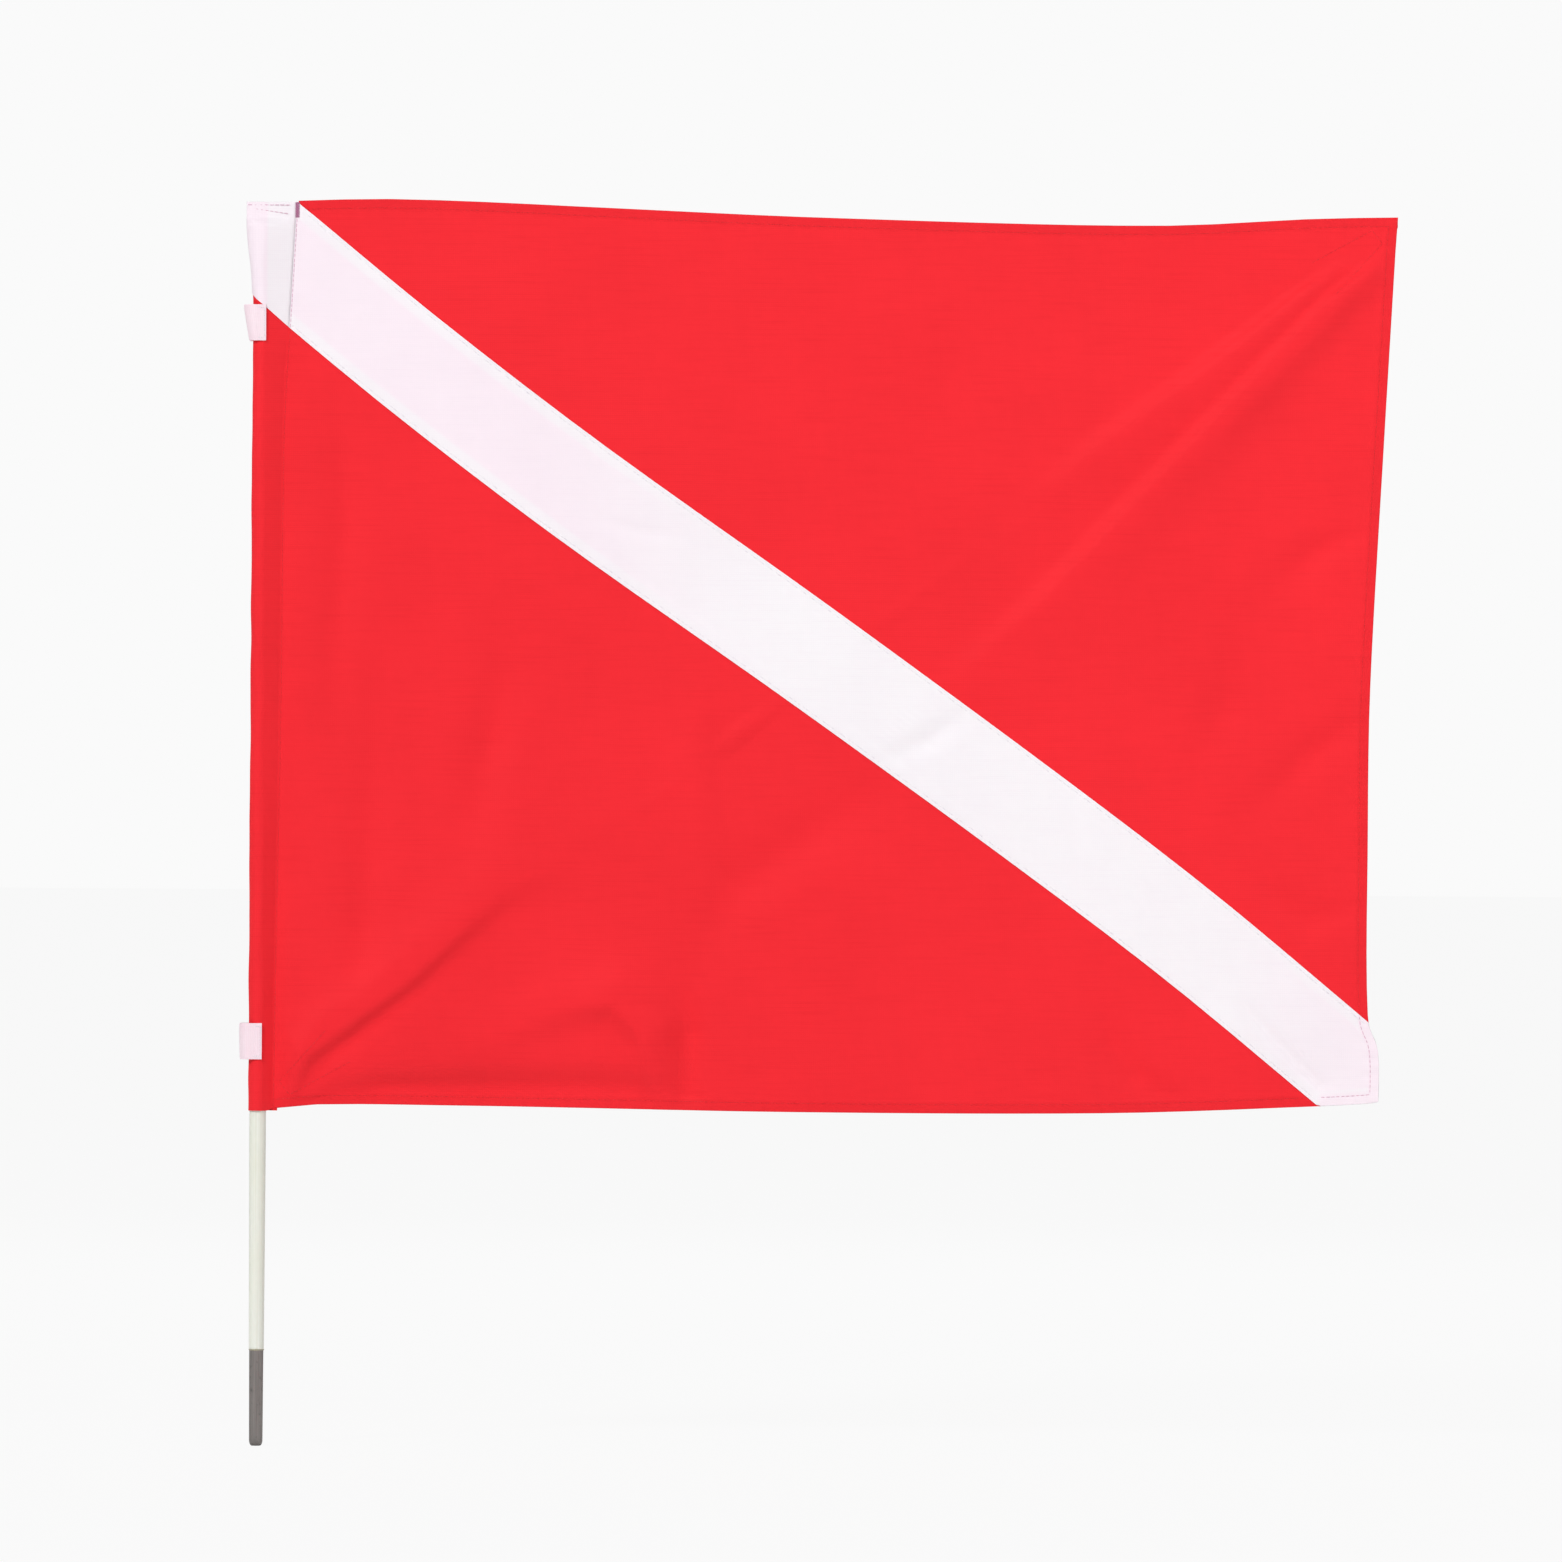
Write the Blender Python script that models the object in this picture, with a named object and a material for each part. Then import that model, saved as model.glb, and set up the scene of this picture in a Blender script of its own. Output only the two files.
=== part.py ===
"""A hand-sized signal flag on a fibreglass pole: red cloth with a white stripe, held open by a stiffener.

The origin is the centre of the ferrule's flat foot. +Z runs up the pole, +X towards the flag's fly edge and
+Y towards the flag's back, where the stiffener lies. All sizes are in metres.
"""

import math

import bmesh
import bpy
from mathutils import Vector

# Pole: a fibreglass rod with a steel spigot at its foot and a vinyl cap on its top end.
ROD_RADIUS = 0.0047
ROD_FOOT_RADIUS = 0.0043
ROD_TAPER_LENGTH = 0.120
ROD_FOOT_CHAMFER = 0.0006
FERRULE_LENGTH = 0.0543
FERRULE_RADIUS = 0.00405
FERRULE_WAIST_RADIUS = 0.00385
FERRULE_NOSE_LENGTH = 0.0034
FERRULE_FOOT_RADIUS = 0.0024
STEM_RADIUS = 0.0024
STEM_LENGTH = 0.022
CAP_LENGTH = 0.017
CAP_WALL = 0.0006

# Flag: its foot above the ferrule's end, its height at the hoist and its reach from the pole's axis.
POLE_BELOW_FLAG = 0.1905
FLAG_HOIST = 0.5165
FLY_REACH = 0.645
CLOTH = 0.0005
HEM_WIDTH = 0.006

# How far the stretched edges leave the straight lines, as (share of the edge, distance).
TOP_DIPS = (
    (0.0, 0.0),
    (0.12, 0.0020),
    (0.30, -0.0022),
    (0.51, -0.0075),
    (0.79, -0.0105),
    (0.93, -0.0060),
    (1.0, -0.0050),
)
FOOT_LIFTS = (
    (0.0, 0.0),
    (0.04, 0.0035),
    (0.16, 0.0035),
    (0.48, 0.0010),
    (0.75, 0.0015),
    (0.93, 0.0060),
    (1.0, 0.0085),
)
FLY_HOLLOWS = (
    (0.0, 0.0082),
    (0.075, 0.0085),
    (0.105, 0.0142),
    (0.30, 0.0150),
    (0.47, 0.0142),
    (0.75, 0.0070),
    (1.0, 0.0),
)

# White stripe: where its two edges meet the sleeve, the fly edge and the foot.
STRIPE_HOIST_DROP = 0.0590
STRIPE_FLY_RISE = 0.0455
STRIPE_FOOT_RUN = 0.0341
STRIPE_WAVE = (
    (0.0, 0.0),
    (0.13, -0.0048),
    (0.28, -0.0050),
    (0.50, 0.0020),
    (0.72, 0.0062),
    (0.86, 0.0060),
    (1.0, 0.0),
)

# Sleeve: a tube of cloth round the rod, sewn flat beyond it and shut at its top. Its seam lies this far
# beyond the round part, as (share of the hoist, distance).
SLEEVE_CLEARANCE = 0.0003
SLEEVE_WALL = 0.0004
SEAM_REACHES = (
    (0.0, 0.0028),
    (0.18, 0.0038),
    (0.45, 0.0058),
    (0.76, 0.0068),
    (0.87, 0.0101),
    (1.0, 0.0138),
)
SEAM_FLAP = 0.0016
SLEEVE_TOP_SPREAD = 0.0034
SLEEVE_SHUT_BAND = 0.0095
SLEEVE_FLARE_HEIGHT = 0.050
SLEEVE_SHEAR_HEIGHT = 0.036

# Line loops: webbing folded round the sleeve's edge, with a free eye outside it.
WEBBING_WIDTH = 0.0205
WEBBING = 0.0007
LOOP_EYE = 0.0047
LOOP_LEG_REACH = 0.0023
UPPER_LOOP_DROP = 0.0585
LOWER_LOOP_RISE = 0.0292

# Stiffener: a slim rod behind the flag from the lower hoist corner to the upper fly corner.
STIFFENER_RADIUS = 0.0015
TIP_WALL = 0.0005
TIP_LENGTH = 0.012
POCKET_CORNER_INSET = 0.009
POCKET_LENGTH = 0.042
POCKET_MOUTH_WIDTH = 0.026
POCKET_END_WIDTH = 0.012
POCKET_SHUT_LENGTH = 0.011
POCKET_SEAM = 0.002
POCKET_SIDE_ROOM = 0.0030

# Thread: a sewn line's width and how thick it stands on the cloth.
THREAD_WIDTH = 0.0005
THREAD_DEPTH = 0.0003
BAR_TACK_LENGTH = 0.006
BAR_TACK_PITCH = 0.0012
LOOP_STITCH_INSET = 0.0020

GAP = 0.0003
TURN_STEPS = 40
EDGE_STEPS = 24
SLEEVE_STEPS = 32

# Places that follow from the sizes above.
FLAG_FOOT = POLE_BELOW_FLAG
FLAG_TOP = FLAG_FOOT + FLAG_HOIST
SLEEVE_BORE = ROD_RADIUS + SLEEVE_CLEARANCE
SLEEVE_OUTER = SLEEVE_BORE + SLEEVE_WALL
SLEEVE_TOP_REACH = SLEEVE_OUTER + SLEEVE_TOP_SPREAD
SLEEVE_SHUT = FLAG_TOP - SLEEVE_SHUT_BAND
CAP_TOP = SLEEVE_SHUT - 2 * GAP
CAP_FOOT = CAP_TOP - CAP_LENGTH
TIP_RADIUS = STIFFENER_RADIUS + GAP + TIP_WALL
BACK_OF_CLOTH = CLOTH / 2 + GAP
STIFFENER_Y = BACK_OF_CLOTH + TIP_RADIUS
POCKET_ARCH = 2 * (TIP_RADIUS + GAP) + GAP
POCKET_ARCH_HALF_WIDTH = TIP_RADIUS + POCKET_SIDE_ROOM


def clear_scene():
    for thing in list(bpy.data.objects):
        bpy.data.objects.remove(thing, do_unlink=True)


def finish(name, color, roughness, metallic=0.0):
    """A Principled finish with one colour, as linear RGB."""
    made = bpy.data.materials.new(name)
    made.use_nodes = True
    shader = made.node_tree.nodes["Principled BSDF"]
    shader.inputs["Base Color"].default_value = (*color, 1.0)
    shader.inputs["Roughness"].default_value = roughness
    shader.inputs["Metallic"].default_value = metallic
    return made


def red_nylon(name):
    return finish(name, (0.93, 0.032, 0.042), 0.75)


def white_nylon(name):
    return finish(name, (0.90, 0.86, 0.89), 0.75)


def add_object(name, mesh_data, material, smooth_angle=None):
    """Wraps a bmesh as a named object, with smooth faces where smooth_angle is given."""
    mesh = bpy.data.meshes.new(name)
    bmesh.ops.recalc_face_normals(mesh_data, faces=mesh_data.faces)
    if mesh_data.calc_volume(signed=True) < 0:
        bmesh.ops.reverse_faces(mesh_data, faces=mesh_data.faces)
    mesh_data.to_mesh(mesh)
    mesh_data.free()
    mesh.materials.append(material)
    if smooth_angle is not None:
        mesh.shade_smooth()
        mesh.set_sharp_from_angle(angle=smooth_angle)
    thing = bpy.data.objects.new(name, mesh)
    bpy.context.scene.collection.objects.link(thing)
    return thing


def curve_value(points, share):
    """A smooth curve through (share, value) points, level with its neighbours' slope at each point."""
    last = len(points) - 1
    here = 0
    while here < last - 1 and share > points[here + 1][0]:
        here += 1

    def slope(index):
        low = points[max(index - 1, 0)]
        high = points[min(index + 1, last)]
        return (high[1] - low[1]) / (high[0] - low[0])

    (start, start_value), (end, end_value) = points[here], points[here + 1]
    span = end - start
    t = (share - start) / span
    return (
        start_value * (1 + 2 * t) * (1 - t) ** 2
        + slope(here) * span * t * (1 - t) ** 2
        + end_value * t * t * (3 - 2 * t)
        + slope(here + 1) * span * t * t * (t - 1)
    )


def ease(share):
    """0 below share 0, 1 above share 1, with a smooth rise between."""
    share = min(max(share, 0.0), 1.0)
    return share * share * (3 - 2 * share)


# The flag's outline, all in the XZ plane.


def top_edge(x):
    return FLAG_TOP + curve_value(TOP_DIPS, x / FLY_REACH)


def foot_edge(x):
    return FLAG_FOOT + curve_value(FOOT_LIFTS, x / FLY_REACH)


def fly_edge(z):
    return FLY_REACH - curve_value(FLY_HOLLOWS, (z - FLAG_FOOT) / FLAG_HOIST)


def seam_line(z):
    """Where the sleeve's two layers are sewn together and the fields begin."""
    return SLEEVE_OUTER + curve_value(SEAM_REACHES, (z - FLAG_FOOT) / FLAG_HOIST)


def stripe_edge(start, end, x):
    """Height at x of a stripe edge sewn from start to end, with the wave that the pull gives it."""
    share = (x - start[0]) / (end[0] - start[0])
    return start[1] + (end[1] - start[1]) * share + curve_value(STRIPE_WAVE, share)


FLY_FOOT_Z = foot_edge(FLY_REACH)
FLY_TOP_Z = top_edge(FLY_REACH)
FLY_FOOT_X = fly_edge(FLY_FOOT_Z)
STRIPE_HIGH_START = (seam_line(FLAG_TOP) + GAP, FLAG_TOP)
STRIPE_HIGH_END = (fly_edge(FLY_FOOT_Z + STRIPE_FLY_RISE), FLY_FOOT_Z + STRIPE_FLY_RISE)
STRIPE_LOW_START = (0.0, FLAG_TOP - STRIPE_HOIST_DROP)
STRIPE_LOW_END = (FLY_FOOT_X - STRIPE_FOOT_RUN, foot_edge(FLY_FOOT_X - STRIPE_FOOT_RUN))
STRIPE_SLOPE = (STRIPE_LOW_START[1] - STRIPE_LOW_END[1]) / (STRIPE_LOW_END[0] - STRIPE_LOW_START[0])
SEAM_LOW_Z = STRIPE_LOW_START[1] - STRIPE_SLOPE * seam_line(STRIPE_LOW_START[1])


def stripe_high(x):
    return stripe_edge(STRIPE_HIGH_START, STRIPE_HIGH_END, x)


def stripe_low(x):
    return stripe_edge(STRIPE_LOW_START, STRIPE_LOW_END, x)


def spread(start, end, steps):
    """Evenly spaced values from start to end, both included."""
    return [start + (end - start) * i / steps for i in range(steps + 1)]


# Shapes shared by several pieces.


def turned(name, profile, material, smooth_angle=math.radians(35)):
    """A body turned round the local Z axis from (radius, z) points; a radius of 0 closes it on the axis."""
    shape = bmesh.new()
    rings = []
    for radius, z in profile:
        if radius == 0:
            rings.append([shape.verts.new((0, 0, z))])
            continue
        angles = [2 * math.pi * i / TURN_STEPS for i in range(TURN_STEPS)]
        rings.append([shape.verts.new((radius * math.cos(a), radius * math.sin(a), z)) for a in angles])
    for low, high in zip(rings, rings[1:]):
        join_rings(shape, low, high)
    return add_object(name, shape, material, smooth_angle)


def join_rings(shape, low, high):
    """Faces between two closed rings of points, either of which may be a single point."""
    count = max(len(low), len(high))
    for i in range(count):
        after = i + 1
        corners = [low[i % len(low)], low[after % len(low)], high[after % len(high)], high[i % len(high)]]
        shape.faces.new(list(dict.fromkeys(corners)))


def plate(name, outline, front, back, material):
    """A flat panel with an (x, z) outline between two depths in Y."""
    shape = bmesh.new()
    near = [shape.verts.new((x, front, z)) for x, z in outline]
    far = [shape.verts.new((x, back, z)) for x, z in outline]
    shape.faces.new(near)
    shape.faces.new(list(reversed(far)))
    join_rings(shape, near, far)
    return add_object(name, shape, material)


def sewn_line(name, path, surface, outward, color):
    """One line of thread along (x, z) points, a gap clear of the cloth at depth surface."""
    shape = bmesh.new()
    near = surface + outward * GAP
    far = near + outward * THREAD_DEPTH
    points = [Vector(point) for point in path]
    rings = []
    for i, point in enumerate(points):
        before = (point - points[i - 1]).normalized() if i else (points[1] - point).normalized()
        after = (points[i + 1] - point).normalized() if i < len(points) - 1 else before
        along = (before + after).normalized()
        side = Vector((-along.y, along.x)) * (THREAD_WIDTH / 2 / max(along.dot(before), 0.5))
        left, right = point + side, point - side
        front = [(left.x, near, left.y), (right.x, near, right.y)]
        back = [(right.x, far, right.y), (left.x, far, left.y)]
        rings.append([shape.verts.new(corner) for corner in front + back])
    for low, high in zip(rings, rings[1:]):
        join_rings(shape, low, high)
    shape.faces.new(rings[0])
    shape.faces.new(rings[-1])
    return add_object(name, shape, finish(name, color, 0.7))


# The pole.


def make_rod():
    neck = ROD_RADIUS - CAP_WALL - GAP
    foot = FERRULE_LENGTH + GAP
    socket_top = FERRULE_LENGTH + STEM_LENGTH + GAP
    profile = [
        (0, socket_top),
        (STEM_RADIUS + GAP, socket_top),
        (STEM_RADIUS + GAP, foot),
        (ROD_FOOT_RADIUS - ROD_FOOT_CHAMFER, foot),
        (ROD_FOOT_RADIUS, foot + ROD_FOOT_CHAMFER),
        (ROD_RADIUS, foot + ROD_TAPER_LENGTH),
        (ROD_RADIUS, CAP_FOOT - GAP),
        (neck, CAP_FOOT - GAP),
        (neck, CAP_TOP - ROD_RADIUS),
        (0, CAP_TOP - ROD_RADIUS),
    ]
    turned("pole_rod", profile, finish("pole_rod", (0.79, 0.81, 0.69), 0.35))


def make_ferrule():
    arc = [math.pi / 2 * i / 5 for i in range(6)]
    nose_width = FERRULE_WAIST_RADIUS - FERRULE_FOOT_RADIUS
    nose = [
        (FERRULE_FOOT_RADIUS + nose_width * math.sin(a), FERRULE_NOSE_LENGTH * (1 - math.cos(a))) for a in arc
    ]
    profile = [
        (0, 0),
        *nose,
        (FERRULE_RADIUS, FERRULE_LENGTH),
        (STEM_RADIUS, FERRULE_LENGTH),
        (STEM_RADIUS, FERRULE_LENGTH + STEM_LENGTH),
        (0, FERRULE_LENGTH + STEM_LENGTH),
    ]
    turned("pole_ferrule", profile, finish("pole_ferrule", (0.30, 0.27, 0.25), 0.38, 1.0))


def make_rod_cap():
    """A dipped vinyl cap, flush with the rod, over the rod's turned-down neck."""
    inside = ROD_RADIUS - CAP_WALL
    inside_top = CAP_TOP - ROD_RADIUS + GAP
    shoulder = CAP_TOP - ROD_RADIUS
    dome = [math.pi / 2 * i / 6 for i in range(1, 6)]
    profile = [
        (0, inside_top),
        (inside, inside_top),
        (inside, CAP_FOOT),
        (ROD_RADIUS, CAP_FOOT),
        (ROD_RADIUS, shoulder),
        *[(ROD_RADIUS * math.cos(a), shoulder + ROD_RADIUS * math.sin(a)) for a in dome],
        (0, CAP_TOP),
    ]
    turned("rod_tip_cap", profile, finish("rod_tip_cap", (0.03, 0.03, 0.03), 0.6))


# The sleeve. Its section is round where it wraps the rod, and its two layers leave the rod on straight
# tangents and lie together up to the seam. Near the top it flattens and is shut.


def flare(z):
    """0 on the wrapped length and 1 where the sleeve is flat."""
    return ease((z - (SLEEVE_SHUT - SLEEVE_FLARE_HEIGHT)) / SLEEVE_FLARE_HEIGHT)


def bore_height(z):
    """Half the depth of the sleeve's hollow in Y: the full bore, rounded off over the cap's dome."""
    rise = SLEEVE_SHUT - (CAP_TOP - ROD_RADIUS) + GAP
    share = min(max((z - (SLEEVE_SHUT - rise)) / rise, 0.0), 1.0)
    return SLEEVE_BORE * math.sqrt(1 - share * share)


def layer_depth(x, apex, height):
    """Half the hollow's depth at x on the seam side: the bore's circle, then its tangent to the apex."""
    touch = SLEEVE_BORE * SLEEVE_BORE / apex
    touch_depth = math.sqrt(SLEEVE_BORE * SLEEVE_BORE - touch * touch)
    if x < touch:
        depth = math.sqrt(SLEEVE_BORE * SLEEVE_BORE - x * x)
    else:
        depth = touch_depth * (apex - x) / (apex - touch)
    return max(depth * height / SLEEVE_BORE, GAP / 2)


def sleeve_ring(z, outside):
    """One ring of (x, y) points round the sleeve's hollow or its outer face."""
    wall = SLEEVE_WALL if outside else 0.0
    seam = seam_line(sheared(z, seam_line(z)))
    apex = seam - SEAM_FLAP
    left = SLEEVE_BORE + SLEEVE_TOP_SPREAD * flare(z)
    height = bore_height(z)
    ring = []
    for i in range(SLEEVE_STEPS):
        angle = 2 * math.pi * (i + 0.5) / SLEEVE_STEPS
        across = math.cos(angle)
        side = math.copysign(1.0, math.sin(angle))
        if across < 0:
            depth = max(height * abs(math.sin(angle)), GAP / 2)
            ring.append(((left + wall) * across, side * depth + wall * math.sin(angle)))
            continue
        share = across / math.cos(math.pi / SLEEVE_STEPS)
        reach = share * (seam if outside else apex)
        depth = layer_depth(reach, apex, height) if reach < apex else GAP / 2
        ring.append((reach, side * (depth + wall)))
    return ring


def sheared(z, x):
    """Height of a ring point: level rings far from the stripe's edge, sloped with it at the edge."""
    weight = 1 - ease(abs(z - STRIPE_LOW_START[1]) / SLEEVE_SHEAR_HEIGHT)
    return z - STRIPE_SLOPE * x * weight


def sleeve_rings(shape, heights, outside):
    rings = []
    for z in heights:
        rings.append([shape.verts.new((x, y, sheared(z, x))) for x, y in sleeve_ring(z, outside)])
    for low, high in zip(rings, rings[1:]):
        join_rings(shape, low, high)
    return rings


def lower_sleeve_heights():
    edge = STRIPE_LOW_START[1] - GAP / 2
    shear_start = STRIPE_LOW_START[1] - SLEEVE_SHEAR_HEIGHT
    return spread(FLAG_FOOT, shear_start, 12) + spread(shear_start, edge, 5)[1:]


def upper_sleeve_heights():
    """The heights of the rings round the hollow, from the stripe's edge to over the cap's dome."""
    edge = STRIPE_LOW_START[1] + GAP / 2
    dome_start = CAP_TOP - ROD_RADIUS - GAP
    return spread(edge, dome_start, 6) + spread(dome_start, SLEEVE_SHUT - GAP, 6)[1:]


def seam_points(heights, low, high):
    """The sleeve rings' (x, z) points on the seam that lie between two heights, moved out by the gap."""
    sewn = [sheared(z, seam_line(z)) for z in heights]
    return [(seam_line(z) + GAP, z) for z in sewn if low < z < high]


def make_lower_sleeve():
    """The red length of the sleeve, open at both ends."""
    heights = lower_sleeve_heights()
    shape = bmesh.new()
    outer = sleeve_rings(shape, heights, True)
    inner = sleeve_rings(shape, heights, False)
    join_rings(shape, outer[0], inner[0])
    join_rings(shape, outer[-1], inner[-1])
    add_object("sleeve_lower", shape, red_nylon("sleeve_lower"), math.radians(40))


def make_upper_sleeve():
    """The white end of the sleeve, open below and shut flat above the rod's cap."""
    hollow = upper_sleeve_heights()
    shape = bmesh.new()
    outer = sleeve_rings(shape, hollow + [SLEEVE_SHUT, FLAG_TOP], True)
    inner = sleeve_rings(shape, hollow, False)
    join_rings(shape, outer[0], inner[0])
    shape.faces.new(outer[-1])
    shape.faces.new(inner[-1])
    add_object("sleeve_upper", shape, white_nylon("sleeve_upper"), math.radians(40))


# The three panels of the flag.


def make_upper_field():
    start = STRIPE_HIGH_START[0] + 2 * GAP
    top = [(x, top_edge(x)) for x in spread(start, FLY_REACH, EDGE_STEPS)]
    fly = [(fly_edge(z), z) for z in spread(FLY_TOP_Z, STRIPE_HIGH_END[1] + 2 * GAP, EDGE_STEPS)[1:]]
    low = [(x, stripe_high(x) + 2 * GAP) for x in spread(STRIPE_HIGH_END[0], start, EDGE_STEPS)[1:-1]]
    plate("upper_field", top + fly + low, -CLOTH / 2, CLOTH / 2, red_nylon("upper_field"))


def make_stripe():
    start = STRIPE_HIGH_START[0]
    seam_x = seam_line(SEAM_LOW_Z) + GAP
    high = [(x, stripe_high(x)) for x in spread(start, STRIPE_HIGH_END[0], EDGE_STEPS)]
    fly = [(fly_edge(z), z) for z in spread(STRIPE_HIGH_END[1], FLY_FOOT_Z, 8)[1:]]
    foot = [(x, foot_edge(x)) for x in spread(FLY_FOOT_X, STRIPE_LOW_END[0], 3)[1:]]
    low = [(x, stripe_low(x)) for x in spread(STRIPE_LOW_END[0], seam_x, EDGE_STEPS)[1:]]
    hoist = seam_points(upper_sleeve_heights(), low[-1][1], FLAG_TOP)
    outline = high + fly + foot + low + hoist
    plate("diagonal_stripe", outline, -CLOTH / 2, CLOTH / 2, white_nylon("diagonal_stripe"))


def make_lower_field():
    seam_x = seam_line(SEAM_LOW_Z) + GAP
    foot_start = seam_line(FLAG_FOOT) + GAP
    high = [(x, stripe_low(x) - 2 * GAP) for x in spread(seam_x, STRIPE_LOW_END[0] - 2 * GAP, EDGE_STEPS)]
    foot = [(x, foot_edge(x)) for x in spread(STRIPE_LOW_END[0] - 2 * GAP, foot_start, EDGE_STEPS)]
    hoist = seam_points(lower_sleeve_heights(), foot[-1][1], high[0][1])
    plate("lower_field", high + foot + hoist, -CLOTH / 2, CLOTH / 2, red_nylon("lower_field"))


# Webbing loops for the line, sewn round the sleeve's outer edge.


def make_line_loop(name, middle):
    inside = SLEEVE_OUTER + GAP
    outside = inside + WEBBING
    centre = -(SLEEVE_OUTER + LOOP_EYE) + inside
    angles = spread(math.pi / 2, 3 * math.pi / 2, 16)
    outer = [(centre + outside * math.cos(a), outside * math.sin(a)) for a in angles]
    inner = [(centre + inside * math.cos(a), inside * math.sin(a)) for a in reversed(angles)]
    outline = [(LOOP_LEG_REACH, outside), *outer, (LOOP_LEG_REACH, -outside)]
    outline += [(LOOP_LEG_REACH, -inside), *inner, (LOOP_LEG_REACH, inside)]
    shape = bmesh.new()
    low = [shape.verts.new((x, y, middle - WEBBING_WIDTH / 2)) for x, y in outline]
    high = [shape.verts.new((x, y, middle + WEBBING_WIDTH / 2)) for x, y in outline]
    shape.faces.new(low)
    shape.faces.new(list(reversed(high)))
    join_rings(shape, low, high)
    add_object(name, shape, finish(name, (0.80, 0.74, 0.77), 0.8), math.radians(30))


def make_loop_stitching(name, middle):
    """Three sides of a box, sewn through the loop's leg and the sleeve."""
    half = WEBBING_WIDTH / 2 - LOOP_STITCH_INSET
    near = LOOP_LEG_REACH - LOOP_STITCH_INSET / 2
    far = near - 2 * LOOP_STITCH_INSET
    path = [(far, middle - half), (near, middle - half), (near, middle + half), (far, middle + half)]
    front = -(SLEEVE_OUTER + GAP + WEBBING)
    sewn_line(name, path, front, -1, (0.72, 0.66, 0.70))


# The stiffener, its tips and the pockets that hold them.


def stiffener_ends():
    """The closed ends of the two pockets, as (x, z)."""
    low_x = seam_line(FLAG_FOOT) + POCKET_CORNER_INSET / 2
    high_x = fly_edge(FLY_TOP_Z) - POCKET_CORNER_INSET
    low = Vector((low_x, foot_edge(low_x) + POCKET_CORNER_INSET))
    high = Vector((high_x, top_edge(high_x) - POCKET_CORNER_INSET))
    return low, high


def aim(thing, place, along):
    """Puts a turned body's foot at an (x, z) place behind the flag and points its Z axis along (x, z)."""
    thing.location = (place.x, STIFFENER_Y, place.y)
    thing.rotation_euler = (0, math.atan2(along.x, along.y), 0)


def make_stiffener():
    low, high = stiffener_ends()
    along = (high - low).normalized()
    inset = POCKET_SHUT_LENGTH + TIP_WALL + GAP
    length = (high - low).length - 2 * inset
    profile = [(0, 0), (STIFFENER_RADIUS, 0), (STIFFENER_RADIUS, length), (0, length)]
    rod = turned("stiffener_rod", profile, finish("stiffener_rod", (0.80, 0.80, 0.72), 0.4))
    aim(rod, low + along * inset, along)
    for name, end, inward in (("stiffener_tip_lower", low, along), ("stiffener_tip_upper", high, -along)):
        make_tip(name, end + inward * POCKET_SHUT_LENGTH, inward)


def make_tip(name, place, inward):
    bore = STIFFENER_RADIUS + GAP
    rounding = TIP_WALL / 2
    profile = [
        (0, 0),
        (TIP_RADIUS - rounding, 0),
        (TIP_RADIUS, rounding),
        (TIP_RADIUS, TIP_LENGTH),
        (bore, TIP_LENGTH),
        (bore, TIP_WALL),
        (0, TIP_WALL),
    ]
    tip = turned(name, profile, finish(name, (0.75, 0.75, 0.75), 0.55))
    aim(tip, place, inward)


def pocket_half_width(run):
    share = run / POCKET_LENGTH
    return (POCKET_END_WIDTH + (POCKET_MOUTH_WIDTH - POCKET_END_WIDTH) * share) / 2


def pocket_lift(run, across):
    """How far the pocket stands off the flag, at a distance from its shut end and from its centre line."""
    if abs(across) >= POCKET_ARCH_HALF_WIDTH:
        return 0.0
    opening = ease((run - POCKET_SEAM) / (POCKET_SHUT_LENGTH - POCKET_SEAM - GAP))
    return POCKET_ARCH * opening * math.cos(math.pi / 2 * across / POCKET_ARCH_HALF_WIDTH)


def make_pocket(name, end, inward):
    """A patch of cloth on the flag's back: sewn flat at its sides and end, arched over the stiffener's tip."""
    side = Vector((-inward.y, inward.x))
    runs = [0, *spread(POCKET_SEAM, POCKET_SHUT_LENGTH, 5), *spread(POCKET_SHUT_LENGTH, POCKET_LENGTH, 2)[1:]]
    shares = spread(-1, 1, 14)
    shape = bmesh.new()
    layers = []
    for depth in (BACK_OF_CLOTH, BACK_OF_CLOTH + SLEEVE_WALL):
        rows = []
        for run in runs:
            row = []
            for share in shares:
                across = share * pocket_half_width(run)
                place = end + inward * run + side * across
                row.append(shape.verts.new((place.x, depth + pocket_lift(run, across), place.y)))
            rows.append(row)
        layers.append(rows)
    for rows in layers:
        for first, second in zip(rows, rows[1:]):
            for i in range(len(shares) - 1):
                shape.faces.new((first[i], first[i + 1], second[i + 1], second[i]))
    rims = [rim_of(rows) for rows in layers]
    join_rings(shape, rims[0], rims[1])
    add_object(name, shape, red_nylon(name), math.radians(40))


def rim_of(rows):
    """The border points of a grid, in order."""
    right = [row[-1] for row in rows[1:-1]]
    left = [row[0] for row in reversed(rows[1:-1])]
    return rows[0] + right + list(reversed(rows[-1])) + left


def make_pocket_stitching(name, end, inward):
    """Thread down one side of a pocket, across its shut end and back up the other side."""
    side = Vector((-inward.y, inward.x))
    inset = POCKET_SEAM / 2
    runs = (POCKET_LENGTH - inset, inset)
    first = [end + inward * run + side * (pocket_half_width(run) - inset) for run in runs]
    second = [end + inward * run - side * (pocket_half_width(run) - inset) for run in reversed(runs)]
    sewn_line(name, first + second, BACK_OF_CLOTH + SLEEVE_WALL, 1, (0.62, 0.03, 0.05))


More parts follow.
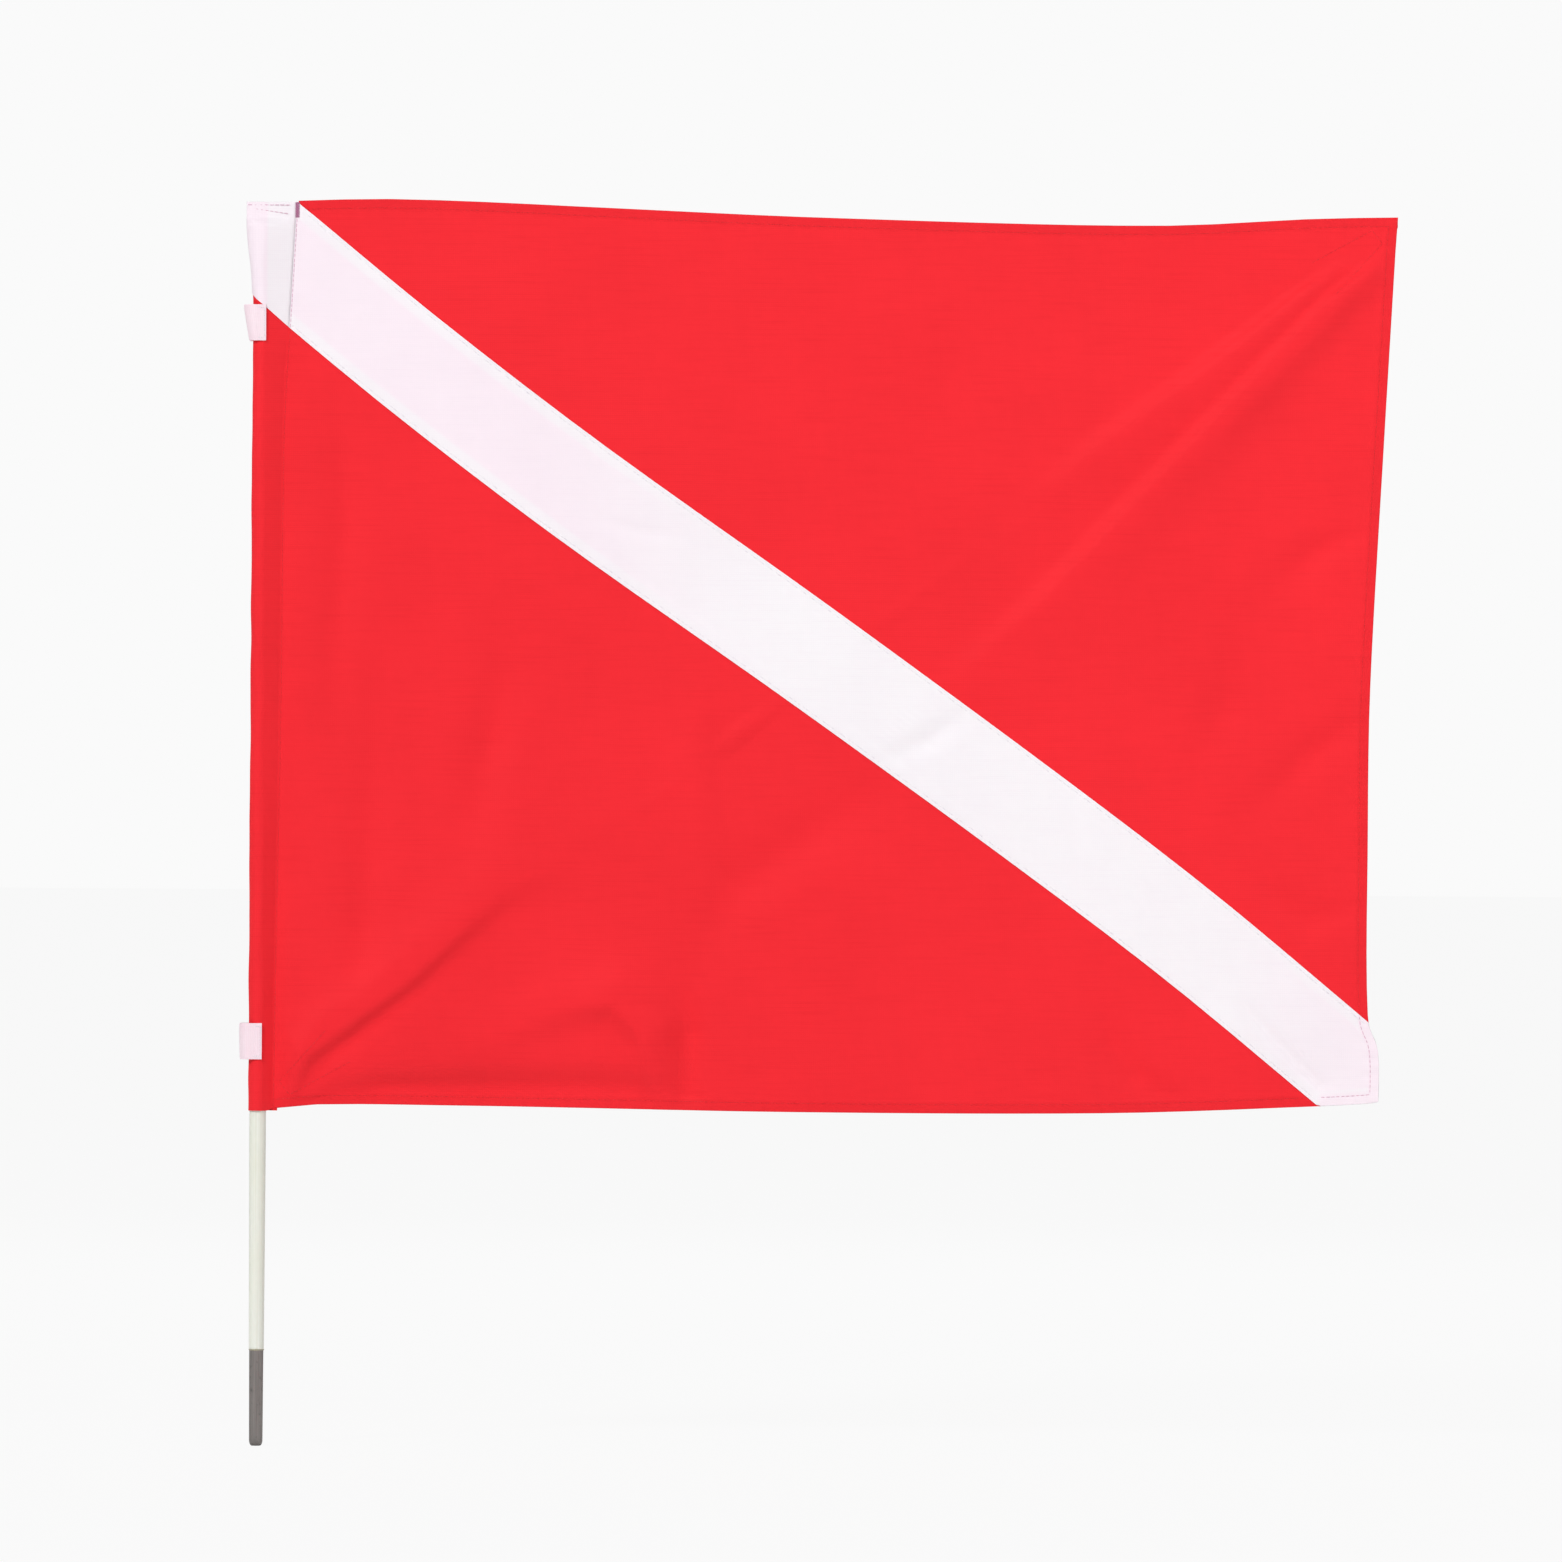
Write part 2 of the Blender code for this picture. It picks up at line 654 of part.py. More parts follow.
def make_pockets():
    low, high = stiffener_ends()
    along = (high - low).normalized()
    for place, end, inward in (("lower", low, along), ("upper", high, -along)):
        make_pocket(place + "_corner_pocket", end, inward)
        make_pocket_stitching(place + "_pocket_stitching", end, inward)


# Stitching on the flag's front.


def make_hem_stitching():
    """One run of thread along the top hem, down the fly and back along the foot."""
    start = STRIPE_HIGH_START[0] + 2 * GAP
    corner_z = FLY_TOP_Z - HEM_WIDTH
    corner_x = fly_edge(corner_z) - HEM_WIDTH
    foot_z = foot_edge(FLY_FOOT_X) + HEM_WIDTH
    foot_x = fly_edge(foot_z) - HEM_WIDTH
    foot_start = seam_line(FLAG_FOOT) + 4 * GAP
    top = [(x, top_edge(x) - HEM_WIDTH) for x in spread(start, corner_x, EDGE_STEPS)]
    fly = [(fly_edge(z) - HEM_WIDTH, z) for z in spread(corner_z, foot_z, EDGE_STEPS)[1:]]
    foot = [(x, foot_edge(x) + HEM_WIDTH) for x in spread(foot_x, foot_start, EDGE_STEPS)[1:]]
    sewn_line("hem_stitching", top + fly + foot, -CLOTH / 2, -1, (0.62, 0.03, 0.05))


def make_stripe_stitching():
    """A line of thread along each edge of the stripe, between the hems' lines."""
    clear = HEM_WIDTH + 4 * THREAD_WIDTH
    inset = 2 * THREAD_WIDTH
    low_hem = FLY_FOOT_Z + clear
    high_start = STRIPE_HIGH_START[0] + 2 * clear
    high_end = STRIPE_HIGH_END[0] - clear
    low_start = seam_line(SEAM_LOW_Z) + 4 * GAP
    low_end = STRIPE_LOW_END[0] - clear
    while stripe_low(low_end) + inset < low_hem:
        low_end -= clear / 4
    high = [(x, stripe_high(x) - inset) for x in spread(high_start, high_end, EDGE_STEPS)]
    low = [(x, stripe_low(x) + inset) for x in spread(low_start, low_end, EDGE_STEPS)]
    sewn_line("stripe_upper_stitching", high, -CLOTH / 2, -1, (0.74, 0.70, 0.73))
    sewn_line("stripe_lower_stitching", low, -CLOTH / 2, -1, (0.74, 0.70, 0.73))


def make_sleeve_stitching():
    """The seam along the sleeve, the short seam that shuts its top and the bar tack where they meet."""
    inset = 2 * THREAD_WIDTH
    front = -(GAP / 2 + SLEEVE_WALL)
    tack_foot = FLAG_TOP - inset - BAR_TACK_LENGTH
    heights = spread(FLAG_FOOT + inset, tack_foot - inset, EDGE_STEPS)
    seam = [(seam_line(z) - SEAM_FLAP / 2, z) for z in heights]
    sewn_line("sleeve_seam_stitching", seam, front, -1, (0.60, 0.18, 0.26))
    tack_x = seam_line(FLAG_TOP) - SEAM_FLAP / 2
    steps = round(BAR_TACK_LENGTH / BAR_TACK_PITCH)
    tack = [(tack_x - inset * (i % 2), tack_foot + BAR_TACK_PITCH * i) for i in range(steps + 1)]
    sewn_line("sleeve_top_bar_tack", tack, front, -1, (0.45, 0.12, 0.24))
    shut_z = FLAG_TOP - HEM_WIDTH / 2
    shut = [(-SLEEVE_TOP_REACH + inset, shut_z), (tack_x - 3 * inset, shut_z)]
    sewn_line("sleeve_top_stitching", shut, front, -1, (0.70, 0.55, 0.63))


def main():
    clear_scene()
    make_rod()
    make_ferrule()
    make_rod_cap()
    make_lower_sleeve()
    make_upper_sleeve()
    make_upper_field()
    make_stripe()
    make_lower_field()
    upper_loop = FLAG_TOP - UPPER_LOOP_DROP - WEBBING_WIDTH / 2
    lower_loop = FLAG_FOOT + LOWER_LOOP_RISE + WEBBING_WIDTH / 2
    for place, middle in (("upper", upper_loop), ("lower", lower_loop)):
        make_line_loop(place + "_line_loop", middle)
        make_loop_stitching(place + "_loop_stitching", middle)
    make_stiffener()
    make_pockets()
    make_hem_stitching()
    make_stripe_stitching()
    make_sleeve_stitching()


main()
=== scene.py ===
# %% [markdown]
# # A signal flag on a fibreglass rod
# The flag is nylon cloth, sewn from two red panels and a white stripe. Its hoist edge is folded round a slim rod
# and sewn down as a sleeve, and a stiffener behind the cloth runs from corner to corner and keeps it spread.
# The imported CAD model gives every place and size, so the first step loads it.

# %% Load the CAD model
import math

import bmesh
import bpy
import numpy as np
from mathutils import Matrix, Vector, noise
from mathutils.bvhtree import BVHTree


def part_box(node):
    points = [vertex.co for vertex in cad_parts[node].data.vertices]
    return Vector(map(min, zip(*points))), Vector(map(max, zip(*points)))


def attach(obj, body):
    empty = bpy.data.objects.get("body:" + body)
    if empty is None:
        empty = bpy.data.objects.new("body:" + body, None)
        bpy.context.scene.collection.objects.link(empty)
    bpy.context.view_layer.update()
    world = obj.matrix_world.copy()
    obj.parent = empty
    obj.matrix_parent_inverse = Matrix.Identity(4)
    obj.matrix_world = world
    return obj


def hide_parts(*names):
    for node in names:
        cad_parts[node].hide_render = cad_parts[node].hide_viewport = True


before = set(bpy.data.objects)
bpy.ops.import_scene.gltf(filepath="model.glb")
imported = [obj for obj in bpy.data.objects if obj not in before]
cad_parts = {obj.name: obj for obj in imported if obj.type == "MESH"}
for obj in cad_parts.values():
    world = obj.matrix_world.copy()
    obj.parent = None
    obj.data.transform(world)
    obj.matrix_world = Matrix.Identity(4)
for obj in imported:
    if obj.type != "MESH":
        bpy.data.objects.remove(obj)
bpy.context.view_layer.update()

# %% [markdown]
# ## Camera, floor and light
# A long lens keeps the flag's straight edges straight, as a product picture does. The camera looks along +Y, level
# with the middle of the model, and is rolled a little because the rod leans.
# The floor and the space behind it are one pale tone. They could be a curved paper sweep, but a sweep would stand
# in the way of views from behind. A wide floor and a world of the same tone look alike from every side.

# %% Camera
MM = 0.001
VIEW_CENTRE = Vector((296.3, 0, 379.6)) * MM
VIEW_WIDTH = 888 * MM
CAMERA_DISTANCE = 6.0
SENSOR = 36.0
LEAN = 0.0062


def new_object(name, data):
    """An object in the scene, with its mesh, light or camera data."""
    made = bpy.data.objects.new(name, data)
    bpy.context.scene.collection.objects.link(made)
    return made


camera = new_object("camera", bpy.data.cameras.new("camera"))
camera.data.sensor_width = SENSOR
camera.data.lens = SENSOR * CAMERA_DISTANCE / VIEW_WIDTH
camera.data.clip_end = 100
camera.location = VIEW_CENTRE - Vector((0, CAMERA_DISTANCE, 0))
camera.rotation_euler = (math.pi / 2, -LEAN, 0)
bpy.context.scene.camera = camera
bpy.context.scene.view_settings.view_transform = "Standard"
print("lens, mm:", round(camera.data.lens, 1))


# %% [markdown]
# ## Small helpers for materials
# Colours are written as sRGB hex values and turned to the linear values that a shader needs. One function adds any
# node with its settings and its links. A material could be written as a long run of such calls, but a table with one
# row for each node shows at a glance what feeds what, so each material here is a table.

# %% Material helpers
def linear(code):
    """An sRGB hex colour such as "#fa323a" as linear RGBA."""
    parts = [int(code[i : i + 2], 16) / 255 for i in (1, 3, 5)]
    return tuple(c / 12.92 if c <= 0.04045 else ((c + 0.055) / 1.055) ** 2.4 for c in parts) + (1.0,)


def add_node(tree, label, kind, settings, links):
    """One node under a label. Settings are properties, or inputs by name or number. A link feeds an input from an
    earlier node's output, given as "label.output" by name or number."""
    made = tree.nodes.new("ShaderNode" + kind)
    made.name = label
    for key, value in settings.items():
        if isinstance(key, str) and hasattr(made, key):
            setattr(made, key, value)
        else:
            made.inputs[key].default_value = value
    for key, source in links.items():
        from_label, output = source.split(".")
        output = int(output) if output.isdigit() else output
        tree.links.new(made.inputs[key], tree.nodes[from_label].outputs[output])


def new_material(name, settings, table):
    """A Principled material. The table's nodes "colour", "rough" and "bump" feed its shader."""
    made = bpy.data.materials.new(name)
    made.use_nodes = True
    tree = made.node_tree
    shader = tree.nodes["Principled BSDF"]
    for key, value in settings.items():
        shader.inputs[key].default_value = value
    for label, row in table.items():
        add_node(tree, label, *row)
    for key, label, output in (("Base Color", "colour", 2), ("Roughness", "rough", 0), ("Normal", "bump", 0)):
        tree.links.new(shader.inputs[key], tree.nodes[label].outputs[output])
    return made


print("red nylon, linear:", [round(c, 3) for c in linear("#fa323a")])

# %% Floor and world
FLOOR_SIZE = 60.0
PAPER = "#fafafa"
PAPER_GLOW = 0.97
ROOM_LIGHT = 0.33
floor_mesh = bpy.data.meshes.new("floor")
half = FLOOR_SIZE / 2
floor_mesh.from_pydata([(-half, -half, 0), (half, -half, 0), (half, half, 0), (-half, half, 0)], [], [(0, 1, 2, 3)])
new_object("floor", floor_mesh)
paper = bpy.data.materials.new("matt_paper_floor")
floor_mesh.materials.append(paper)
room = bpy.data.worlds.new("pale_room")
bpy.context.scene.world = room

# The camera sees both in the paper's own tone; the cloth is lit by the room's softer light.
FLOOR_NODES = {
    "matt": ("BsdfDiffuse", {"Color": linear(PAPER)}, {}),
    "glow": ("Emission", {"Color": linear(PAPER), "Strength": 1.0}, {}),
    "rays": ("LightPath", {}, {}),
    "share": ("Math", {"operation": "MULTIPLY", 1: PAPER_GLOW}, {0: "rays.Is Camera Ray"}),
    "mixed": ("MixShader", {}, {"Fac": "share.0", 1: "matt.0", 2: "glow.0"}),
    "out": ("OutputMaterial", {}, {"Surface": "mixed.0"}),
}
ROOM_NODES = {
    "seen": ("Background", {"Color": linear(PAPER), "Strength": 1.0}, {}),
    "lit": ("Background", {"Color": linear("#ffffff"), "Strength": ROOM_LIGHT}, {}),
    "rays": ("LightPath", {}, {}),
    "mixed": ("MixShader", {}, {"Fac": "rays.Is Camera Ray", 1: "lit.0", 2: "seen.0"}),
    "out": ("OutputWorld", {}, {"Surface": "mixed.0"}),
}
for stage, table in ((paper, FLOOR_NODES), (room, ROOM_NODES)):
    stage.use_nodes = True
    stage.node_tree.nodes.clear()
    for label, row in table.items():
        add_node(stage.node_tree, label, *row)

# %% Lights
# A panel high on the left makes the creases show, a smaller one fills from the right, and one lights the back.
LIGHTS = (
    ("key_panel", (-3.4, -5.0, 4.9), 1.6, 314.0),
    ("right_fill", (1.7, -1.5, 1.4), 1.2, 13.0),
    ("back_fill", (0.4, 2.4, 1.6), 1.6, 22.0),
)
for name, place, size, power in LIGHTS:
    lamp = new_object(name, bpy.data.lights.new(name, "AREA"))
    lamp.data.shape = "DISK"
    lamp.data.size = size
    lamp.data.energy = power
    lamp.location = place
    lamp.rotation_mode = "QUATERNION"
    lamp.rotation_quaternion = (VIEW_CENTRE - Vector(place)).to_track_quat("-Z", "Y")
print("lights:", [light[0] for light in LIGHTS])

# %% [markdown]
# ## Edges measured on the CAD model
# The cloth pieces have to end where the CAD panels end. The curves of those edges could be typed in a second time,
# but a feeler that runs along an axis until it meets the CAD faces gives them straight from the model.


# %% Measure the edges
FAR = 2.0


def faces_of(*names):
    """A search tree over the faces of some CAD nodes."""
    points, faces = [], []
    for name in names:
        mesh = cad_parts[name].data
        first = len(points)
        points += [v.co.copy() for v in mesh.vertices]
        faces += [[first + i for i in p.vertices] for p in mesh.polygons]
    return BVHTree.FromPolygons(points, faces)


def feel(tree, start, direction):
    """Where a straight feeler first meets the faces."""
    return tree.ray_cast(Vector(start), Vector(direction))[0]


def edge_curve(places, values):
    """A function that reads a measured edge, and runs straight on past its ends."""
    places, values = np.array(places), np.array(values)
    low = (values[4] - values[0]) / (places[4] - places[0])
    high = (values[-1] - values[-5]) / (places[-1] - places[-5])

    def read(at):
        at = np.asarray(at, float)
        inside = np.interp(at, places, values)
        inside = inside + low * np.minimum(at - places[0], 0)
        return inside + high * np.maximum(at - places[-1], 0)

    return read


# %% Read the edges
sleeve_faces = faces_of("sleeve_lower", "sleeve_upper")
stripe_faces = faces_of("diagonal_stripe")
flag_faces = faces_of("upper_field", "diagonal_stripe", "lower_field")
FLAG_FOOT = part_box("sleeve_lower")[0].z
FLAG_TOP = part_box("sleeve_upper")[1].z
TIP_HIGH_X, TIP_LOW_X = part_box("upper_field")[0].x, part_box("lower_field")[1].x
STRIPE_FLY_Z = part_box("upper_field")[0].z
FLY_FOOT_Z = feel(flag_faces, (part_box("diagonal_stripe")[1].x - 0.5 * MM, 0, -FAR), (0, 0, 1)).z

heights = np.linspace(FLAG_FOOT + 0.2 * MM, FLAG_TOP - 0.2 * MM, 240)
EDGE_NUDGE = 0.4 * MM
# Places away from the corners, where an edge is read for its usual value.
UPPER_FLY_Z = 0.7
UPPER_HOIST_Z = 0.63
NEAR_FLY_X = 0.64


def feel_sleeve(z, start, direction):
    """A sleeve measure at height z. The slit between the sleeve's two lengths is stepped over."""
    for nudge in (0, EDGE_NUDGE, 2 * EDGE_NUDGE, -EDGE_NUDGE, -2 * EDGE_NUDGE):
        place = feel(sleeve_faces, (*start, z + nudge), (*direction, 0))
        if place is not None:
            return place
    raise ValueError(f"no sleeve at {z}")


seam_x = edge_curve(heights, [feel_sleeve(z, (FAR, 0), (-1, 0)).x for z in heights])
left_x = edge_curve(heights, [-feel_sleeve(z, (-FAR, 0), (1, 0)).x for z in heights])
depth_y = edge_curve(heights, [-feel_sleeve(z, (0, -FAR), (0, 1)).y for z in heights])
across = np.linspace(TIP_HIGH_X + 0.3 * MM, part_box("upper_field")[1].x - 0.3 * MM, 300)
top_z = edge_curve(across, [feel(flag_faces, (x, 0, FAR), (0, 0, -1)).z for x in across])
across = np.linspace(seam_x(FLAG_FOOT) + 1 * MM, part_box("diagonal_stripe")[1].x - 0.3 * MM, 300)
foot_z = edge_curve(across, [feel(flag_faces, (x, 0, -FAR), (0, 0, 1)).z for x in across])
rising = np.linspace(FLY_FOOT_Z + 1 * MM, float(top_z(0.644)) - 1.2 * MM, 200)
rising = [z for z in rising if abs(z - STRIPE_FLY_Z) > 1.2 * MM]
fly_x = edge_curve(rising, [feel(flag_faces, (FAR, 0, z), (-1, 0, 0)).x for z in rising])
across = np.linspace(TIP_HIGH_X + 0.5 * MM, float(fly_x(STRIPE_FLY_Z)) - 1.5 * MM, 240)
high_z = edge_curve(across, [feel(stripe_faces, (x, 0, FAR), (0, 0, -1)).z for x in across])
across = np.linspace(float(seam_x(UPPER_HOIST_Z)) + 1.5 * MM, TIP_LOW_X - 1 * MM, 240)
low_z = edge_curve(across, [feel(stripe_faces, (x, 0, -FAR), (0, 0, 1)).z for x in across])
print("hoist, mm:", round((FLAG_TOP - FLAG_FOOT) / MM, 1), "fly reach, mm:", round(float(fly_x(UPPER_FLY_Z)) / MM, 1))
print("stripe's lower edge at the rod, mm:", round(float(low_z(0)) / MM, 1))

# %% [markdown]
# ## The shape of the spread cloth
# Spread nylon is never quite flat. The stiffener pulls two corners apart, so folds run out of those corners, and
# each sewn edge draws the cloth up in small puckers. A cloth solver could find such folds but not put them in
# given places. Here each fold is a soft groove or ridge along a path, and fractal noise adds the slackness.
# Everything is one function of the place on the flag, so that all the layers share it and never cut each other.

# %% Folds
# path in mm as (x, z); depths in mm along it, where + is a groove away from the viewer; half widths in mm along it;
# skew where the sides differ, + for a steeper side on the path's right.
FOLDS = (
    # The ridge that the stiffener's end pushes up at the lower hoist corner, steep below, and the groove beside it.
    (
        ((20, 196), (22.5, 210), (27, 222), (39, 233), (59, 248), (88, 270), (103, 284), (138, 316), (180, 340)),
        (-0.6, -2.6, -5, -6.4, -6.6, -6, -5.4, -3.2, -0.4),
        (5, 6, 7.6, 9, 10, 12, 13, 17, 22),
        0.52,
    ),
    (((30, 207), (42, 221), (63, 237), (93, 259), (122, 285)), (0.5, 1.1, 1.1, 0.8, 0.2), (4, 4.6, 5.2, 7, 10)),
    # Short tucks beside the sleeve's foot.
    (((5, 198), (13, 207), (17, 216)), (0.9, 1.1, 0.5), (2.2, 2.4, 2.8)),
    (((31, 230), (37, 243)), (-1, -0.3), (2.6, 3.4), 0.4),
    (((12, 236), (20, 220)), (0.6, 0.9), (3, 3)),
    # The foot hem stands back beside the corner, and a soft bulge ends that stretch.
    (
        ((38, 199), (70, 202), (140, 203), (195, 203), (236, 201)),
        (1.6, 6.4, 7.4, 6.4, 2.6), (8, 13, 15, 16, 12), -0.3,
    ),
    (
        ((120, 226), (172, 250), (203, 255), (219, 236), (225, 206)),
        (-0.4, -3.6, -6.4, -6.4, -2.6), (14, 15, 14, 12, 10), 0.35,
    ),
    (((238, 268), (244, 236), (244, 204)), (0.5, 4.6, 2.4), (10, 9, 8)),
    # The two creases that fan out of the upper fly corner.
    (
        ((633, 677), (629, 672), (605.5, 652), (565, 609), (524, 566), (485, 525), (447, 485), (409, 448), (380, 425)),
        (-0.8, -4, -6.6, -6, -5.4, -5, -4.4, -2.4, -0.3),
        (4.5, 6, 8, 10, 12, 13, 15, 18, 20),
        0.55,
    ),
    (
        ((613, 675), (592, 659), (566, 637), (526, 606), (479, 572), (436, 534)),
        (-0.7, -5, -4.6, -4.4, -4, -0.5),
        (4.5, 7, 10, 13, 15, 18),
        0.55,
    ),
    # Slack folds down the hoist side and across the middle.
    (((44, 606), (47, 530), (43, 460), (44, 400)), (0.4, 2.8, 2.6, 0.5), (9, 10, 10, 9)),
    (((144, 466), (130, 400), (118, 336)), (0.3, 4.2, 0.5), (11, 13, 11)),
    (((250, 452), (248, 390), (250, 328)), (-0.2, -2.8, -0.2), (10, 12, 10)),
    (((66, 440), (62, 330), (56, 250)), (0.3, 3, 1), (10, 11, 8)),
    (((366, 384), (318, 352), (272, 320), (250, 274)), (0.4, 3.6, 3.4, 0.8), (14, 16, 15, 12)),
    (((90, 520), (100, 470), (96, 420)), (0.1, 1.2, 0.1), (12, 14, 12)),
    (((476, 264), (486, 232), (498, 214), (518, 201)), (0.5, 3.4, 3.4, 1.2), (11, 10, 9, 7)),
    (((628, 524), (600, 512), (566, 480)), (0.3, 2.8, 0.4), (6, 9, 12)),
    (((628, 420), (600, 398), (560, 356)), (0.3, 3, 0.4), (7, 10, 13)),
    (((626, 310), (596, 302), (560, 330)), (0.3, 2.4, 0.4), (6, 9, 12)),
    (((560, 470), (548, 420), (530, 380)), (0.2, 3, 0.2), (12, 14, 12)),
    # Wrinkles across the stripe.
    (((558, 256), (578, 233), (603, 208)), (0.6, 2, 1.6), (4.2, 5, 5.4)),
    (((190, 528), (212, 522), (238, 518)), (0.2, 0.9, 0.3), (4.4, 4.4, 4.4)),
    (((352, 390), (380, 403), (406, 422)), (0.5, 2, 0.8), (4.8, 5.4, 6)),
    (((500, 318), (520, 290)), (0.7, 0.4), (6, 6)),
)
print(len(FOLDS), "folds")


# %% The height of one fold
def ramp(value):
    """0 below 0 and 1 above 1, with a smooth rise between."""
    t = np.clip(value, 0, 1)
    return t * t * (3 - 2 * t)


def fold_height(x, z, path, depths, widths, skew=0.0):
    """What one fold adds to the cloth's Y."""
    points = np.array(path) * MM
    steps = np.diff(points, axis=0)
    lengths = np.linalg.norm(steps, axis=1)
    best, side, along = np.full(x.shape, np.inf), np.zeros(x.shape), np.zeros(x.shape)
    run = 0.0
    for (start_x, start_z), (step_x, step_z), length in zip(points, steps, lengths):
        off_x, off_z = x - start_x, z - start_z
        t = np.clip((off_x * step_x + off_z * step_z) / length**2, 0, 1)
        off_x, off_z = off_x - t * step_x, off_z - t * step_z
        distance = np.hypot(off_x, off_z)
        nearer = distance < best
        best = np.where(nearer, distance, best)
        side = np.where(nearer, np.sign(off_x * step_z - off_z * step_x), side)
        along = np.where(nearer, run + t * length, along)
        run += length
    stations = np.concatenate([[0], np.cumsum(lengths)])
    stations = np.interp(np.linspace(0, 1, len(depths)), np.linspace(0, 1, len(stations)), stations)
    depth = np.interp(along, stations, depths) * MM
    width = np.interp(along, stations, widths) * MM * (1 - skew * side)
    return depth * np.exp(-((best / width) ** 2))


# %% Slackness and puckers
# Each size of slackness: its height in mm and its waves for each metre.
SLACK_SCALES = ((2.4, 7.0), (1.3, 17.0), (0.26, 48.0))
SOFT_LIMIT = 4.6 * MM
SOFT_REACH = 1.5 * MM
PUCKER_PITCH = 9.0 * MM
PUCKER_HEIGHT = 0.20 * MM
# Across and along the stripe's slope, for each step up and each step sideways.
STRIPE_TILT = 0.796
STRIPE_RUN = 1.26
# The cloth stays this far before the stiffener, over this half width, with a soft stop and a gentle flank.
STIFFENER_GAP = 0.75 * MM
STIFFENER_BAND = 2.5 * MM
STOP = 0.6 * MM
FLANK_SLOPE = 0.35
SEAM_EASE = 9 * MM
STIFFENER_LOW = (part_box("stiffener_rod")[0].x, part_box("stiffener_rod")[0].z)
STIFFENER_HIGH = (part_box("stiffener_rod")[1].x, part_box("stiffener_rod")[1].z)
STIFFENER_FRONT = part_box("stiffener_rod")[0].y
CLOTH = 0.25 * MM


def slackness(x, z):
    """Fractal noise in three sizes, in metres of Y."""
    total = np.zeros(x.shape)
    flat = total.reshape(-1)
    for i, (px, pz) in enumerate(zip(x.reshape(-1).tolist(), z.reshape(-1).tolist())):
        flat[i] = sum(
            height * noise.noise(Vector((px * scale, pz * scale * 0.8, scale)))
            for height, scale in SLACK_SCALES
        )
    return total * MM


def puckers(distance, along, reach=5.0 * MM):
    """Small waves beside a sewn line, from the distance to it and the place along it."""
    wave = np.sin(2 * math.pi * along / PUCKER_PITCH + 3 * np.sin(along * 37))
    return PUCKER_HEIGHT * wave * np.exp(-((distance / reach) ** 2))


# %% The relief of the whole flag
HEM = 6.0 * MM
STITCH_IN = 4.9 * MM


def relief(x, z):
    """The spread cloth's Y at a place on the flag: folds, slackness and puckers, held off the stiffener."""
    x, z = np.broadcast_arrays(np.asarray(x, float), np.asarray(z, float))
    y = slackness(x, z)
    for fold in FOLDS:
        y = y + fold_height(x, z, *fold)
    sewn_lines = (
        (1.0, top_z(x) - z - STITCH_IN, x),
        (1.0, z - foot_z(x) - STITCH_IN, x + 3 * MM),
        (1.0, fly_x(z) - x - STITCH_IN, z),
        (0.6, (z - high_z(x)) * STRIPE_TILT, x * STRIPE_RUN),
        (0.6, (z - low_z(x)) * STRIPE_TILT, x * STRIPE_RUN + 2 * MM),
    )
    for share, distance, along in sewn_lines:
        y = y + share * puckers(distance, along)
    # Ridges grow more slowly once they stand as far out as the sleeve.
    held = -SOFT_LIMIT - SOFT_REACH * np.tanh((-SOFT_LIMIT - y) / SOFT_REACH)
    y = np.where(y < -SOFT_LIMIT, held, y)
    run_x, run_z = STIFFENER_HIGH[0] - STIFFENER_LOW[0], STIFFENER_HIGH[1] - STIFFENER_LOW[1]
    length = math.hypot(run_x, run_z)
    away = np.abs((x - STIFFENER_LOW[0]) * run_z - (z - STIFFENER_LOW[1]) * run_x) / length
    most = STIFFENER_FRONT - STIFFENER_GAP + FLANK_SLOPE * np.maximum(away - STIFFENER_BAND, 0)
    y = np.where(y > most - STOP, most - STOP + STOP * np.tanh((y - most + STOP) / STOP), y)
    return y * ramp((x - seam_x(z)) / SEAM_EASE)


probe = relief(np.linspace(0.05, 0.6, 60)[None, :], np.linspace(0.25, 0.65, 40)[:, None])
print("relief from", round(float(probe.min()) / MM, 2), "to", round(float(probe.max()) / MM, 2), "mm")

# %% [markdown]
# ## Sheets from grids
# Each panel is one sheet of cloth. Sculpting or a solver would do, but a grid of rows and columns that runs from
# edge to edge keeps rows along every hem, so that folds, hems and stitches meet exactly. A sheet is given in
# blocks that share their borders: the spread part, the part round the rod, and the hems folded to the back.
# Each point also keeps its place in the flat cut, for the weave, and whether cloth lies double there.


